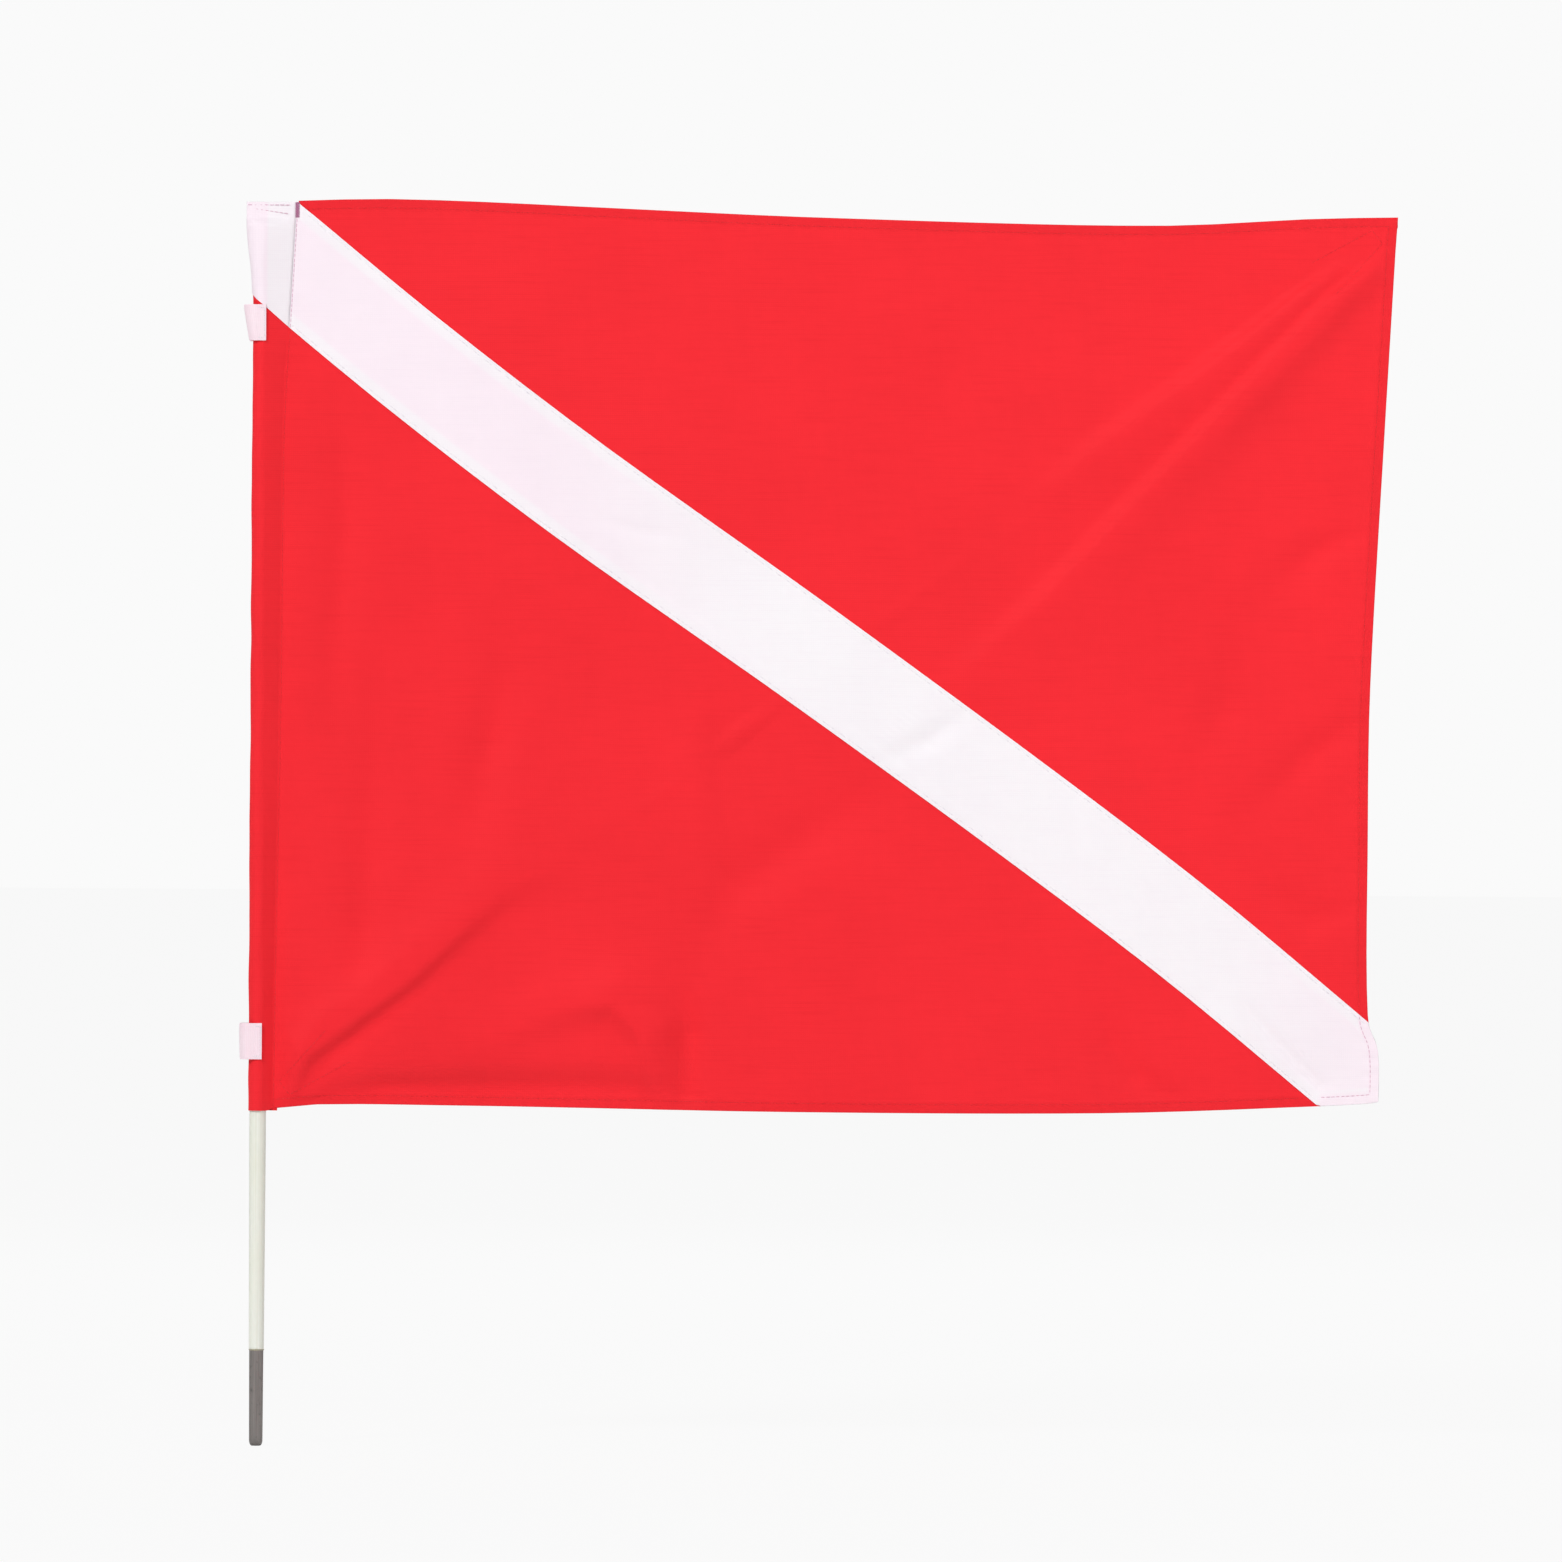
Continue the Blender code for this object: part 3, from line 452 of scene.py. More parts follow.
# %% Sheet builder
def sheet_piece(name, blocks, thickness):
    """A sheet from (points, cut, doubled) blocks of shapes (rows, columns, 3), (.., 2) and (..)."""
    points, faces, cuts, doubled = [], [], [], []
    for block_points, block_cut, block_doubled in blocks:
        rows, columns = block_points.shape[:2]
        grid = np.arange(rows * columns).reshape(rows, columns) + len(points)
        quads = np.stack([grid[:-1, :-1], grid[:-1, 1:], grid[1:, 1:], grid[1:, :-1]], axis=-1)
        faces += quads.reshape(-1, 4).tolist()
        points += block_points.reshape(-1, 3).tolist()
        cuts.append(block_cut.reshape(-1, 2))
        doubled.append(np.broadcast_to(block_doubled, (rows, columns)).reshape(-1))
    mesh = bpy.data.meshes.new(name)
    mesh.from_pydata(points, [], faces)
    cut = np.concatenate(cuts)
    cut = np.column_stack([cut, np.zeros(len(cut))]).astype(np.float32)
    mesh.attributes.new("cut", "FLOAT_VECTOR", "POINT").data.foreach_set("vector", cut.ravel())
    mesh.attributes.new("doubled", "FLOAT", "POINT").data.foreach_set(
        "value", np.concatenate(doubled).astype(np.float32)
    )
    shape = bmesh.new()
    shape.from_mesh(mesh)
    bmesh.ops.remove_doubles(shape, verts=shape.verts, dist=0.004 * MM)
    bmesh.ops.dissolve_degenerate(shape, edges=shape.edges, dist=0.002 * MM)
    bmesh.ops.recalc_face_normals(shape, faces=shape.faces)
    shape.to_mesh(mesh)
    shape.free()
    mesh.shade_smooth()
    thing = new_object(name, mesh)
    solid = thing.modifiers.new("thickness", "SOLIDIFY")
    solid.thickness = thickness
    solid.offset = 0
    solid.use_even_offset = False
    print(name, len(mesh.vertices), "points")
    return thing


def dress(thing, material, slot, *nodes):
    """Gives a piece of the flag its material, hides the CAD nodes that it stands for and hangs it on the flag; its slot
    is not used.
    """
    thing.data.materials.append(material)
    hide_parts(*nodes)
    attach(thing, "flag")


# %% Rows and columns
def mixed_rows(low_rows, high_rows, count):
    """Rows at set distances from the lower and the upper edge, and evenly spaced between them, as three columns."""
    low, high = np.array(low_rows) * MM, np.array(high_rows) * MM
    middle = np.linspace(0, 1, count)[1:-1]
    rows = [(d, 0.0, 0.0) for d in low]
    rows += [(low[-1], s, 0.0) for s in middle]
    rows += [(low[-1], 1.0, high[-1] - d) for d in high[::-1]]
    return np.array(rows), low[-1] + high[-1]


def row_places(rows, set_total, low, high):
    """Heights of all the rows between two edges; the set distances shrink where the edges come near each other."""
    height = high - low
    shrink = np.minimum(1, height / (1.6 * set_total))
    between = height - set_total * shrink
    return low + rows[:, :1] * shrink + rows[:, 1:2] * between + rows[:, 2:3] * shrink


HEM_ROWS = (0, 0.25, 1.0, 2.2, 3.4, 4.4, 4.9, 5.4, 6.0, 6.6, 8.0, 10.5)
BORDER_ROWS = (0, 0.3, 1.2, 2.1, 3.0, 5.0, 8.0, 9.0, 9.8, 11.0, 13.5)
PLAIN_ROWS = (0, 1.5, 3.5, 6.0, 8.0, 9.0, 10.5, 13.0)
ROW_STEP = 2.6 * MM
LAP = 8.8 * MM
LAYER = 0.30 * MM
MIDDLE_Z = 0.45
quick_step = 1.0
ROW_STEP *= quick_step


def field_block(start, end, low, high, rows, columns):
    """The spread part of a panel between two upright edges and two long edges, all given as functions."""
    rows, set_total = rows
    z = np.full((len(rows), len(columns)), MIDDLE_Z)
    for _ in range(6):
        x = start(z) + columns[None, :] * (end(z) - start(z))
        z = row_places(rows, set_total, low(x), high(x))
    return x, z


def column_shares(length, near, step, far=(0,)):
    """Shares of a length: set distances in mm near its start and its end, then even steps."""
    near, far = np.array(near) * MM, length - np.array(far)[::-1] * MM
    count = max(int((far[0] - near[-1]) / step), 2)
    return np.concatenate([near, np.linspace(near[-1], far[0], count + 1)[1:-1], far]) / length


print("rows, mm apart:", ROW_STEP / MM)


# %% Hems
# A hem's fold: distances from the edge in mm, and how much of the layer's height is reached at each.
TURN_STEPS = (0, 0.05, 0.2, 0.5)
TURN_RISE = (0, 0.45, 0.9, 1.0)
FLAT_STEPS = 6


def hem_block(edge_x, edge_z, inward, layer, base=0.0, width=HEM, lift=None):
    """A hem folded to the back from an edge. inward is the (x, z) way into the cloth."""
    steps = np.concatenate([np.array(TURN_STEPS) * MM, np.linspace(1.5 * MM, width, FLAT_STEPS)])
    rise = np.concatenate([TURN_RISE, np.ones(FLAT_STEPS)])
    x = edge_x[None, :] + steps[:, None] * inward[0]
    z = edge_z[None, :] + steps[:, None] * inward[1]
    deep = layer if lift is None else layer + lift(x, z)
    y = relief(x, z) + base + rise[:, None] * deep
    return np.stack([x, y, z], axis=-1), np.stack([x, z + 0.01], axis=-1), np.ones(x.shape)


# %% Cloth round the rod
# How far a loop's grip reaches and fades, and the heights in mm of the sleeve's long waves and short ones.
GRIP = 9 * MM
GRIP_EASE = 16 * MM
LONG_WAVE = 0.34
SHORT_WAVE = 0.10


def slack_sleeve(z, turn):
    """How far the sleeve's cloth stands off the rod, more between the loops than under them."""
    loops = [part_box(name) for name in ("upper_line_loop", "lower_line_loop")]
    free = np.ones(z.shape)
    for low, high in loops:
        free = free * ramp((np.abs(z - (low.z + high.z) / 2) - GRIP) / GRIP_EASE)
    waves = 0.5 + 0.5 * np.sin(z / MM / 11 + 2.4 * turn + 2 * np.sin(z / MM / 37))
    creep = 0.5 + 0.5 * np.sin(z / MM / 4.7 - 1.7 * turn)
    return free * (LONG_WAVE * waves + SHORT_WAVE * creep) * MM


ROD_RADIUS = (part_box("pole_rod")[1].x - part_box("pole_rod")[0].x) / 2
SLEEVE_ROOM = 0.42 * MM
SLEEVE_RADIUS = ROD_RADIUS + SLEEVE_ROOM
# The flap that is sewn down behind the seam, in mm past it.
FLAP_STEPS = (1.4, 2.8)


def sleeve_block(low, high, rows, out, twice, flank=8, around=26):
    """The part round the rod, from the seam in front, over the left, to just past the seam behind."""
    rows, set_total = rows
    radius = SLEEVE_RADIUS + out
    flap = len(FLAP_STEPS)
    count = 2 * flank + around + 1 + flap
    z = np.full((len(rows), count), MIDDLE_Z)
    for _ in range(6):
        seam = seam_x(z)
        touch = np.arccos(np.clip(radius / seam, -1, 1))
        side = np.sqrt(np.maximum(seam**2 - radius**2, 0))
        arc = 2 * radius * (math.pi - touch)
        way = np.concatenate(
            [
                np.linspace(0, 1, flank + 1)[None, :] * side[:, : flank + 1],
                side[:, flank + 1 : flank + around + 1]
                + arc[:, flank + 1 : flank + around + 1] * (np.arange(1, around + 1) / around)[None, :],
                side[:, flank + around + 1 : 2 * flank + around + 1] * (1 + np.arange(1, flank + 1) / flank)[None, :]
                + arc[:, flank + around + 1 : 2 * flank + around + 1],
                (2 * side + arc)[:, -flap:] + np.array(FLAP_STEPS)[None, :] * MM,
            ],
            axis=1,
        )
        flat_x = seam - way
        z = row_places(rows, set_total, low(flat_x), high(flat_x))
    t = np.clip(way / side, 0, 1)
    back = np.clip((2 * side + arc - way) / side, 0, 1)
    turn = touch + np.clip((way - side) / radius, 0, 2 * (math.pi - touch))
    x = np.where(way < side, seam + t * (radius * np.cos(touch) - seam), radius * np.cos(turn))
    y = np.where(way < side, -t * radius * np.sin(touch), -radius * np.sin(turn))
    behind = way > side + arc
    x = np.where(behind, seam + back * (radius * np.cos(touch) - seam), x)
    y = np.where(behind, back * radius * np.sin(touch), y)
    past = np.maximum(way - 2 * side - arc, 0)
    x = x + past
    off = slack_sleeve(z, turn) * ramp(np.minimum(t, back) * 1.4)
    x = np.where(x < 0, x * (left_x(z) - 0.15 * MM + out) / radius, x) + off * np.cos(turn) * (t >= 1) * (back >= 1)
    flat = np.clip((depth_y(z) + 0.05 * MM + out) / radius, 0.02, 1.2)
    y = y * flat - off * np.sin(turn)
    # Behind the seam the outer sheet's flap lies on the inner one's.
    y = y + ramp(1 - back) * np.where(way > side + arc / 2, LAYER + out, 0)
    y = y - out * ramp(1 - np.where(way < side, t, 1))
    cut = np.stack([flat_x, z], axis=-1)
    doubled = twice * np.where((way < side) | behind, ramp((x + 2 * MM) / (5 * MM)), 0.0)
    return np.stack([x, y, z], axis=-1), cut, doubled


print("sleeve cloth radius, mm:", round(SLEEVE_RADIUS / MM, 2))

# %% [markdown]
# ## Woven nylon
# Flag cloth is nylon taffeta: a plain weave of filament yarn, dyed in the piece and pressed smooth. It has a soft
# sheen and no shine. Its yarns lie about 0.3 mm apart, too fine to show, so the weave is drawn four times as coarse.
# Where cloth lies double less light comes through it, so red looks deeper there and white looks cleaner.


# %% Woven nylon material
YARN_PITCH = 1.2 * MM
WAVE_UNIT = 2 * math.pi / 20


def woven_nylon(name, single, doubled, deeper, depth):
    """Dyed nylon taffeta: colours of one layer, of two layers and of its darker patches."""
    yarn = {
        "wave_type": "BANDS", "Scale": WAVE_UNIT / YARN_PITCH, "Distortion": 0.5, "Detail": 1.0, "Detail Scale": 0.6
    }
    sheen = {"IOR": 1.53, "Sheen Weight": 0.05, "Sheen Roughness": 0.45, "Specular IOR Level": 0.2}
    table = {
        "cut": ("Attribute", {"attribute_name": "cut"}, {}),
        "layers": ("Attribute", {"attribute_name": "doubled"}, {}),
        "warp": ("TexWave", {**yarn, "bands_direction": "X"}, {"Vector": "cut.Vector"}),
        "weft": ("TexWave", {**yarn, "bands_direction": "Y"}, {"Vector": "cut.Vector"}),
        "weave": ("Math", {"operation": "MULTIPLY"}, {0: "warp.Fac", 1: "weft.Fac"}),
        "long_way": ("Mapping", {"Scale": (30, 700, 1)}, {"Vector": "cut.Vector"}),
        "slubs": ("TexNoise", {"Scale": 1.0, "Detail": 3.0}, {"Vector": "long_way.0"}),
        "dye": ("TexNoise", {"Scale": 14.0, "Detail": 4.0, "Roughness": 0.6}, {"Vector": "cut.Vector"}),
        "cloth": ("Mix", {"data_type": "RGBA", 6: linear(single), 7: linear(doubled)}, {0: "layers.Fac"}),
        "patches": ("MapRange", {"From Min": 0.35, "From Max": 0.75, "To Max": depth}, {"Value": "dye.Fac"}),
        "lines": ("MapRange", {"From Min": 0.5, "From Max": 0.8, "To Max": depth * 0.8}, {"Value": "slubs.Fac"}),
        "pores": ("MapRange", {"From Min": 0.35, "From Max": 0.0, "To Max": depth * 0.8}, {"Value": "weave.0"}),
        "some": ("Math", {"operation": "ADD"}, {0: "patches.0", 1: "lines.0"}),
        "share": ("Math", {"operation": "ADD"}, {0: "some.0", 1: "pores.0"}),
        "colour": ("Mix", {"data_type": "RGBA", 7: linear(deeper)}, {0: "share.0", 6: "cloth.2"}),
        "rough": ("MapRange", {"To Min": 0.62, "To Max": 0.78}, {"Value": "slubs.Fac"}),
        "bump": ("Bump", {"Strength": 0.25, "Distance": 0.10 * MM}, {"Height": "weave.0"}),
    }
    return new_material(name, sheen, table)


red_nylon = woven_nylon("red_nylon_taffeta", "#f1222d", "#d91a25", "#c8101a", 0.14)
white_nylon = woven_nylon("white_nylon_taffeta", "#f4e7ef", "#f1f2f3", "#e0d0de", 0.12)
print("weave pitch drawn, mm:", YARN_PITCH / MM)

# %% [markdown]
# ## The lower red panel
# One triangular panel that also goes round the rod: its hoist edge is folded back over the rod and sewn down, which
# makes the sleeve. Its foot has a narrow hem, and its sloping edge lies under the white stripe.

# %% Lower red panel
COLUMN_STEP = 2.6 * MM * quick_step
NEAR_SEAM = (0, 0.8, 1.8, 3, 4.5, 6, 8, 10, 12.5)
panel_rows = mixed_rows(HEM_ROWS, PLAIN_ROWS, int((float(low_z(0)) - FLAG_FOOT) / ROW_STEP))
# Along the flag, the lap reaches past the tip by its width over the sine of the stripe's slope.
tip_x = TIP_LOW_X + LAP / 0.80
columns = column_shares(tip_x - 0.012, NEAR_SEAM, COLUMN_STEP)


def sleeve_foot(flat_x):
    """The foot edge: level round the rod, then rising to meet the panel's foot at the seam."""
    seam = float(seam_x(FLAG_FOOT))
    rising = FLAG_FOOT + (float(foot_z(seam)) - FLAG_FOOT) * np.clip((flat_x - ROD_RADIUS) / (seam - ROD_RADIUS), 0, 1)
    return np.where(flat_x > seam, foot_z(flat_x), rising)


def under_stripe(flat_x):
    """The sloping edge, a lap above the stripe's lower edge."""
    return np.maximum(low_z(flat_x) + LAP, sleeve_foot(flat_x) + 0.4 * MM)


x, z = field_block(seam_x, lambda z: np.full(z.shape, tip_x), sleeve_foot, under_stripe, panel_rows, columns)
HEM_SHADE = 0.3
HEM_EDGE = HEM + 0.6 * MM
near_hem = HEM_SHADE * ramp((HEM_EDGE - (z - foot_z(x))) / (1.0 * MM))
spread_part = (np.stack([x, relief(x, z), z], axis=-1), np.stack([x, z], axis=-1), near_hem)
foot_hem = hem_block(x[0], z[0], (0, 1), LAYER)
red_lower = sheet_piece(
    "red_lower_cloth",
    [spread_part, sleeve_block(sleeve_foot, under_stripe, panel_rows, 0.0, 0.0), foot_hem],
    CLOTH,
)
dress(red_lower, red_nylon, "red_nylon", "lower_field", "sleeve_lower")

# %% [markdown]
# ## The upper red panel
# The other triangle. Its top and its fly edge are hemmed to the back, and its long edge lies under the stripe.

# %% Upper red panel
panel_rows = mixed_rows(PLAIN_ROWS, HEM_ROWS, int((float(top_z(0.6)) - STRIPE_FLY_Z) / ROW_STEP))
NEAR_FLY = (0, 0.25, 1.0, 2.2, 3.4, 4.4, 4.9, 5.4, 6.0, 6.6, 8.0, 10.5)
columns = column_shares(float(fly_x(0.6)) - TIP_HIGH_X, (0, 1.5, 3), COLUMN_STEP, NEAR_FLY)


def over_stripe(x):
    """The long edge, a lap below the stripe's upper edge."""
    return high_z(x) - LAP


def corner_lift(x, z):
    """Where the top hem crosses the fly hem it lies on top of it."""
    return LAYER * ramp((x - fly_x(z) + HEM + 1.2 * MM) / (1.0 * MM))


x, z = field_block(lambda z: np.full(z.shape, TIP_HIGH_X), fly_x, over_stripe, top_z, panel_rows, columns)
to_edge = np.minimum(top_z(x) - z, fly_x(z) - x)
near_hem = HEM_SHADE * ramp((HEM_EDGE - to_edge) / (1.0 * MM))
spread_part = (np.stack([x, relief(x, z), z], axis=-1), np.stack([x, z], axis=-1), near_hem)
red_upper = sheet_piece(
    "red_upper_cloth",
    [
        spread_part,
        hem_block(x[-1], z[-1], (0, -1), LAYER, lift=corner_lift),
        hem_block(x[:, -1], z[:, -1], (-1, 0), LAYER),
    ],
    CLOTH,
)
dress(red_upper, red_nylon, "red_nylon", "upper_field")

# %% [markdown]
# ## The white stripe
# A strip of white nylon laid over both red edges. Its own edges are turned under and sewn through, so cloth lies
# double along them. Its upper end goes round the rod too and makes the sleeve's shut top.

# %% White stripe
TURN_UNDER = 9.4 * MM
WHITE_OUT = 0.42 * MM
STRIPE_FRONT = -0.56 * MM
STRIPE_MIDDLE = -0.34 * MM
STRIPE_AT_SEAM = -0.45 * MM
width = float(high_z(0.3) - low_z(0.3))
stripe_rows = mixed_rows(BORDER_ROWS, BORDER_ROWS, int(width / (1.8 * MM * quick_step)))


def stripe_foot(flat_x):
    """The stripe's lower edge, which turns into the flag's foot near the fly."""
    return np.maximum(low_z(flat_x), np.where(flat_x > 0.5, foot_z(flat_x), -1))


def stripe_head(flat_x):
    """The stripe's upper edge, which is the flag's top near the hoist."""
    return np.where(flat_x > TIP_HIGH_X, np.minimum(high_z(flat_x), top_z(flat_x)), FLAG_TOP)


reach = float(fly_x(STRIPE_FLY_Z)) - 0.012
columns = column_shares(reach, NEAR_SEAM, 3.0 * MM * quick_step, NEAR_FLY)
x, z = field_block(seam_x, fly_x, stripe_foot, stripe_head, stripe_rows, columns)


def stripe_layer(x, z):
    """How far the white cloth lies in front of the flag's middle surface."""
    edge = np.minimum(stripe_head(x) - z, z - stripe_foot(x))
    over_turning = STRIPE_MIDDLE + (STRIPE_FRONT - STRIPE_MIDDLE) * ramp((TURN_UNDER + 3 * MM - edge) / (5 * MM))
    past_seam = ramp((x - seam_x(z)) / (4 * MM))
    return over_turning * past_seam + STRIPE_AT_SEAM * (1 - past_seam)


# How white the stripe looks: along its double edges, in its middle, and how little of that is left at its end hem.
# The strip is whitest in its middle, where a painted reflection lightens it; elsewhere it keeps the single-layer tone.
EDGE_CLEAN, MIDDLE_PAINTED_LIGHT, HEM_LOSS = 0.65, 0.75, 0.9
PAINTED_LIGHT_FROM, PAINTED_LIGHT_TO, PAINTED_LIGHT_EASE = 0.14, 0.68, 0.16
edge = np.minimum(stripe_head(x) - z, z - stripe_foot(x))
border = EDGE_CLEAN * ramp((TURN_UNDER + 1.5 * MM - edge) / (4 * MM))
# Painted reflection: the middle of the stripe is drawn whiter than its ends.
painted_light_middle = ramp((x - PAINTED_LIGHT_FROM) / PAINTED_LIGHT_EASE) * ramp((PAINTED_LIGHT_TO - x) / PAINTED_LIGHT_EASE)
border = np.maximum(border, MIDDLE_PAINTED_LIGHT * painted_light_middle)
to_end = np.minimum(fly_x(z) - x, z - foot_z(x) + 1.0 * (x < TIP_LOW_X))
end_hem = ramp((HEM + 0.4 * MM - to_end) / (0.8 * MM))
border = border * (1 - HEM_LOSS * end_hem)
spread_part = (
    np.stack([x, relief(x, z) + stripe_layer(x, z), z], axis=-1),
    np.stack([x, z], axis=-1),
    border,
)


def stripe_hem_lift(x, z):
    """Over the foot the white hem goes behind the red corner; elsewhere it stays between white and red."""
    return (LAYER * 2.2) * ramp((x - TIP_LOW_X) / (2 * MM))


blocks = [
    spread_part,
    sleeve_block(stripe_foot, stripe_head, stripe_rows, WHITE_OUT, 0.6),
    hem_block(x[0, 6:], z[0, 6:], (0, 1), LAYER * 0.85, STRIPE_FRONT, TURN_UNDER, lift=stripe_hem_lift),
    hem_block(x[-1, 6:], z[-1, 6:], (0, -1), LAYER * 0.85, STRIPE_FRONT, TURN_UNDER),
    hem_block(x[:, -1], z[:, -1], (-1, 0), LAYER * 2.6, STRIPE_MIDDLE),
]
white_stripe = sheet_piece("white_stripe_cloth", blocks, CLOTH)
dress(white_stripe, white_nylon, "white_nylon", "diagonal_stripe", "sleeve_upper")
print("stripe's upright width, mm:", round(width / MM, 1))

# %% [markdown]
# ## Sewing thread
# Flags are sewn with twisted polyester thread, about 0.4 mm thick, in lockstitch: one short raised stitch after
# another, sunk into the cloth at both ends. A dotted texture would look right from far away, but stitches made as
# small curved tubes also catch the light at the hems.

# %% Thread material
THREAD = 0.36 * MM
PLY_PITCH = 0.7 * MM


def sewing_thread(name, code, deeper):
    """Twisted polyester thread: a soft sheen, and plies that wind round it, drawn a little coarse."""
    twist = {"wave_type": "BANDS", "bands_direction": "DIAGONAL", "Scale": WAVE_UNIT / PLY_PITCH, "Distortion": 0.4}
    table = {
        "place": ("TexCoord", {}, {}),
        "plies": ("TexWave", twist, {"Vector": "place.Object"}),
        "colour": ("Mix", {"data_type": "RGBA", 6: linear(deeper), 7: linear(code)}, {0: "plies.Fac"}),
        "rough": ("MapRange", {"To Min": 0.75, "To Max": 0.55}, {"Value": "plies.Fac"}),
        "bump": ("Bump", {"Strength": 0.3, "Distance": 0.05 * MM}, {"Height": "plies.Fac"}),
    }
    return new_material(name, {"IOR": 1.57, "Sheen Weight": 0.1, "Specular IOR Level": 0.3}, table)


red_thread = sewing_thread("red_polyester_thread", "#ec222d", "#cc1620")
white_thread = sewing_thread("white_polyester_thread", "#f4f2f4", "#d8d2da")
rose_thread = sewing_thread("rose_polyester_thread", "#dcaec4", "#c690ac")
deep_rose_thread = sewing_thread("deep_rose_polyester_thread", "#c4749e", "#a65a88")

# %% Stitch builder
STITCH = 2.9 * MM
STITCH_FILL = 0.84
# Points round a stitch and along it; how far it rises and sinks, and how slim its ends are, as shares of the thread.
RING = 6
SPAN = 5
STITCH_RISE = 0.38
STITCH_SINK = 0.15
STITCH_TIP = 0.55


def evenly(path, pitch):
    """Starts and ends of even stitches along a path of (x, z) points."""
    path = np.asarray(path, float)
    lengths = np.linalg.norm(np.diff(path, axis=0), axis=1)
    station = np.concatenate([[0], np.cumsum(lengths)])
    count = max(int(round(station[-1] / pitch)), 1)
    at = np.linspace(0, station[-1], count + 1)
    points = np.column_stack([np.interp(at, station, path[:, 0]), np.interp(at, station, path[:, 1])])
    return points[:-1], points[1:]


def stitch_run(starts, ends, surface, outward, thickness=THREAD, fill=STITCH_FILL):
    """Points and faces of one small curved tube for each stitch. surface gives the cloth's Y at (x, z)."""
    starts, ends = np.asarray(starts), np.asarray(ends)
    points, faces = [], []
    along = ends - starts
    length = np.linalg.norm(along, axis=1, keepdims=True)
    along = along / length
    side = np.column_stack([-along[:, 1], along[:, 0]])
    for i in range(SPAN):
        share = i / (SPAN - 1)
        centre = starts + (ends - starts) * ((1 - fill) / 2 + fill * share)
        lift = (math.sin(math.pi * share) * STITCH_RISE - STITCH_SINK) * thickness
        slim = 0.5 * thickness * (STITCH_TIP + 0.45 * math.sin(math.pi * share))
        y = surface(centre[:, 0], centre[:, 1]) + outward * lift
        for k in range(RING):
            angle = 2 * math.pi * k / RING
            x = centre[:, 0] + side[:, 0] * slim * math.cos(angle)
            z = centre[:, 1] + side[:, 1] * slim * math.cos(angle)
            points.append(np.column_stack([x, y + outward * slim * math.sin(angle), z]))
    points = np.stack(points, axis=1)
    count = len(starts)
    for n in range(count):
        first = n * SPAN * RING
        for i in range(SPAN - 1):
            for k in range(RING):
                a, b = first + i * RING + k, first + i * RING + (k + 1) % RING
                faces.append((a, b, b + RING, a + RING))
        faces.append(tuple(first + k for k in range(RING))[::-1])
        faces.append(tuple(first + (SPAN - 1) * RING + k for k in range(RING)))
    return points.reshape(-1, 3), faces


# %% Seams from stitches
def thread_piece(name, runs, material, slot, *nodes):
    """One object from several stitch runs, riding with the flag."""
    points, faces = [], []
    for run_points, run_faces in runs:
        first = len(points)
        points += run_points.tolist()
        faces += [tuple(first + i for i in face) for face in run_faces]
    mesh = bpy.data.meshes.new(name)
    mesh.from_pydata(points, [], faces)
    shape = bmesh.new()
    shape.from_mesh(mesh)
    bmesh.ops.recalc_face_normals(shape, faces=shape.faces)
    shape.to_mesh(mesh)
    shape.free()
    mesh.shade_smooth()
    dress(new_object(name, mesh), material, slot, *nodes)
    print(name, len(faces) // ((SPAN - 1) * RING + 2), "stitches")


def both_sides(path, front, back):
    """The stitches seen in front, and those behind, which fall between them."""
    starts, ends = evenly(path, STITCH)
    half_step = ((ends - starts) / 2)[:-1]
    between = starts[:-1] + half_step, ends[:-1] + half_step
    return [stitch_run(starts, ends, front, -1), stitch_run(*between, back, 1)]


def flat_at(y):
    """A level surface, for stitches on a flat place."""
    return lambda x, z: np.full(np.shape(x), y)


def run_across(start, end, edge, inset, count=200):
    """A seam's path beside a long edge, between two places in x."""
    x = np.linspace(start, end, count)
    return np.column_stack([x, edge(x) + inset])


def run_up(start, end, edge, inset, count=150):
    """A seam's path beside an upright edge, between two heights."""
    z = np.linspace(start, end, count)
    return np.column_stack([edge(z) + inset, z])


def cloth_front(x, z):
    return relief(x, z) - CLOTH / 2


def cloth_back(x, z):
    return relief(x, z) + CLOTH / 2


def hem_back(x, z):
    return relief(x, z) + LAYER + CLOTH / 2


def stripe_front(x, z):
    return relief(x, z) + stripe_layer(x, z) - CLOTH / 2


# %% Hem, stripe and sleeve seams
top_run = run_across(TIP_HIGH_X + 4 * MM, float(fly_x(UPPER_FLY_Z)) - STITCH_IN, top_z, -STITCH_IN)
fly_run = run_up(STRIPE_FLY_Z + 7 * MM, float(top_z(NEAR_FLY_X)) - STITCH_IN, fly_x, -STITCH_IN)
foot_run = run_across(float(seam_x(FLAG_FOOT)) + 2 * MM, TIP_LOW_X - 7 * MM, foot_z, STITCH_IN)
runs = both_sides(top_run, cloth_front, hem_back) + both_sides(fly_run, cloth_front, hem_back)
runs += both_sides(foot_run, cloth_front, hem_back)
thread_piece("hem_stitches", runs, red_thread, "red_thread", "hem_stitching")

STRIPE_STITCH_IN = 2.6 * MM
high_run = run_across(TIP_HIGH_X + 5 * MM, float(fly_x(STRIPE_FLY_Z)) - 2 * MM, high_z, -STRIPE_STITCH_IN, 240)
runs = both_sides(high_run, stripe_front, cloth_back)
thread_piece("stripe_upper_stitches", runs, white_thread, "white_thread", "stripe_upper_stitching")
low_run = run_across(float(seam_x(UPPER_HOIST_Z)) + 1 * MM, TIP_LOW_X - 1 * MM, low_z, STRIPE_STITCH_IN, 240)
runs = both_sides(low_run, stripe_front, cloth_back)
thread_piece("stripe_lower_stitches", runs, white_thread, "white_thread", "stripe_lower_stitching")

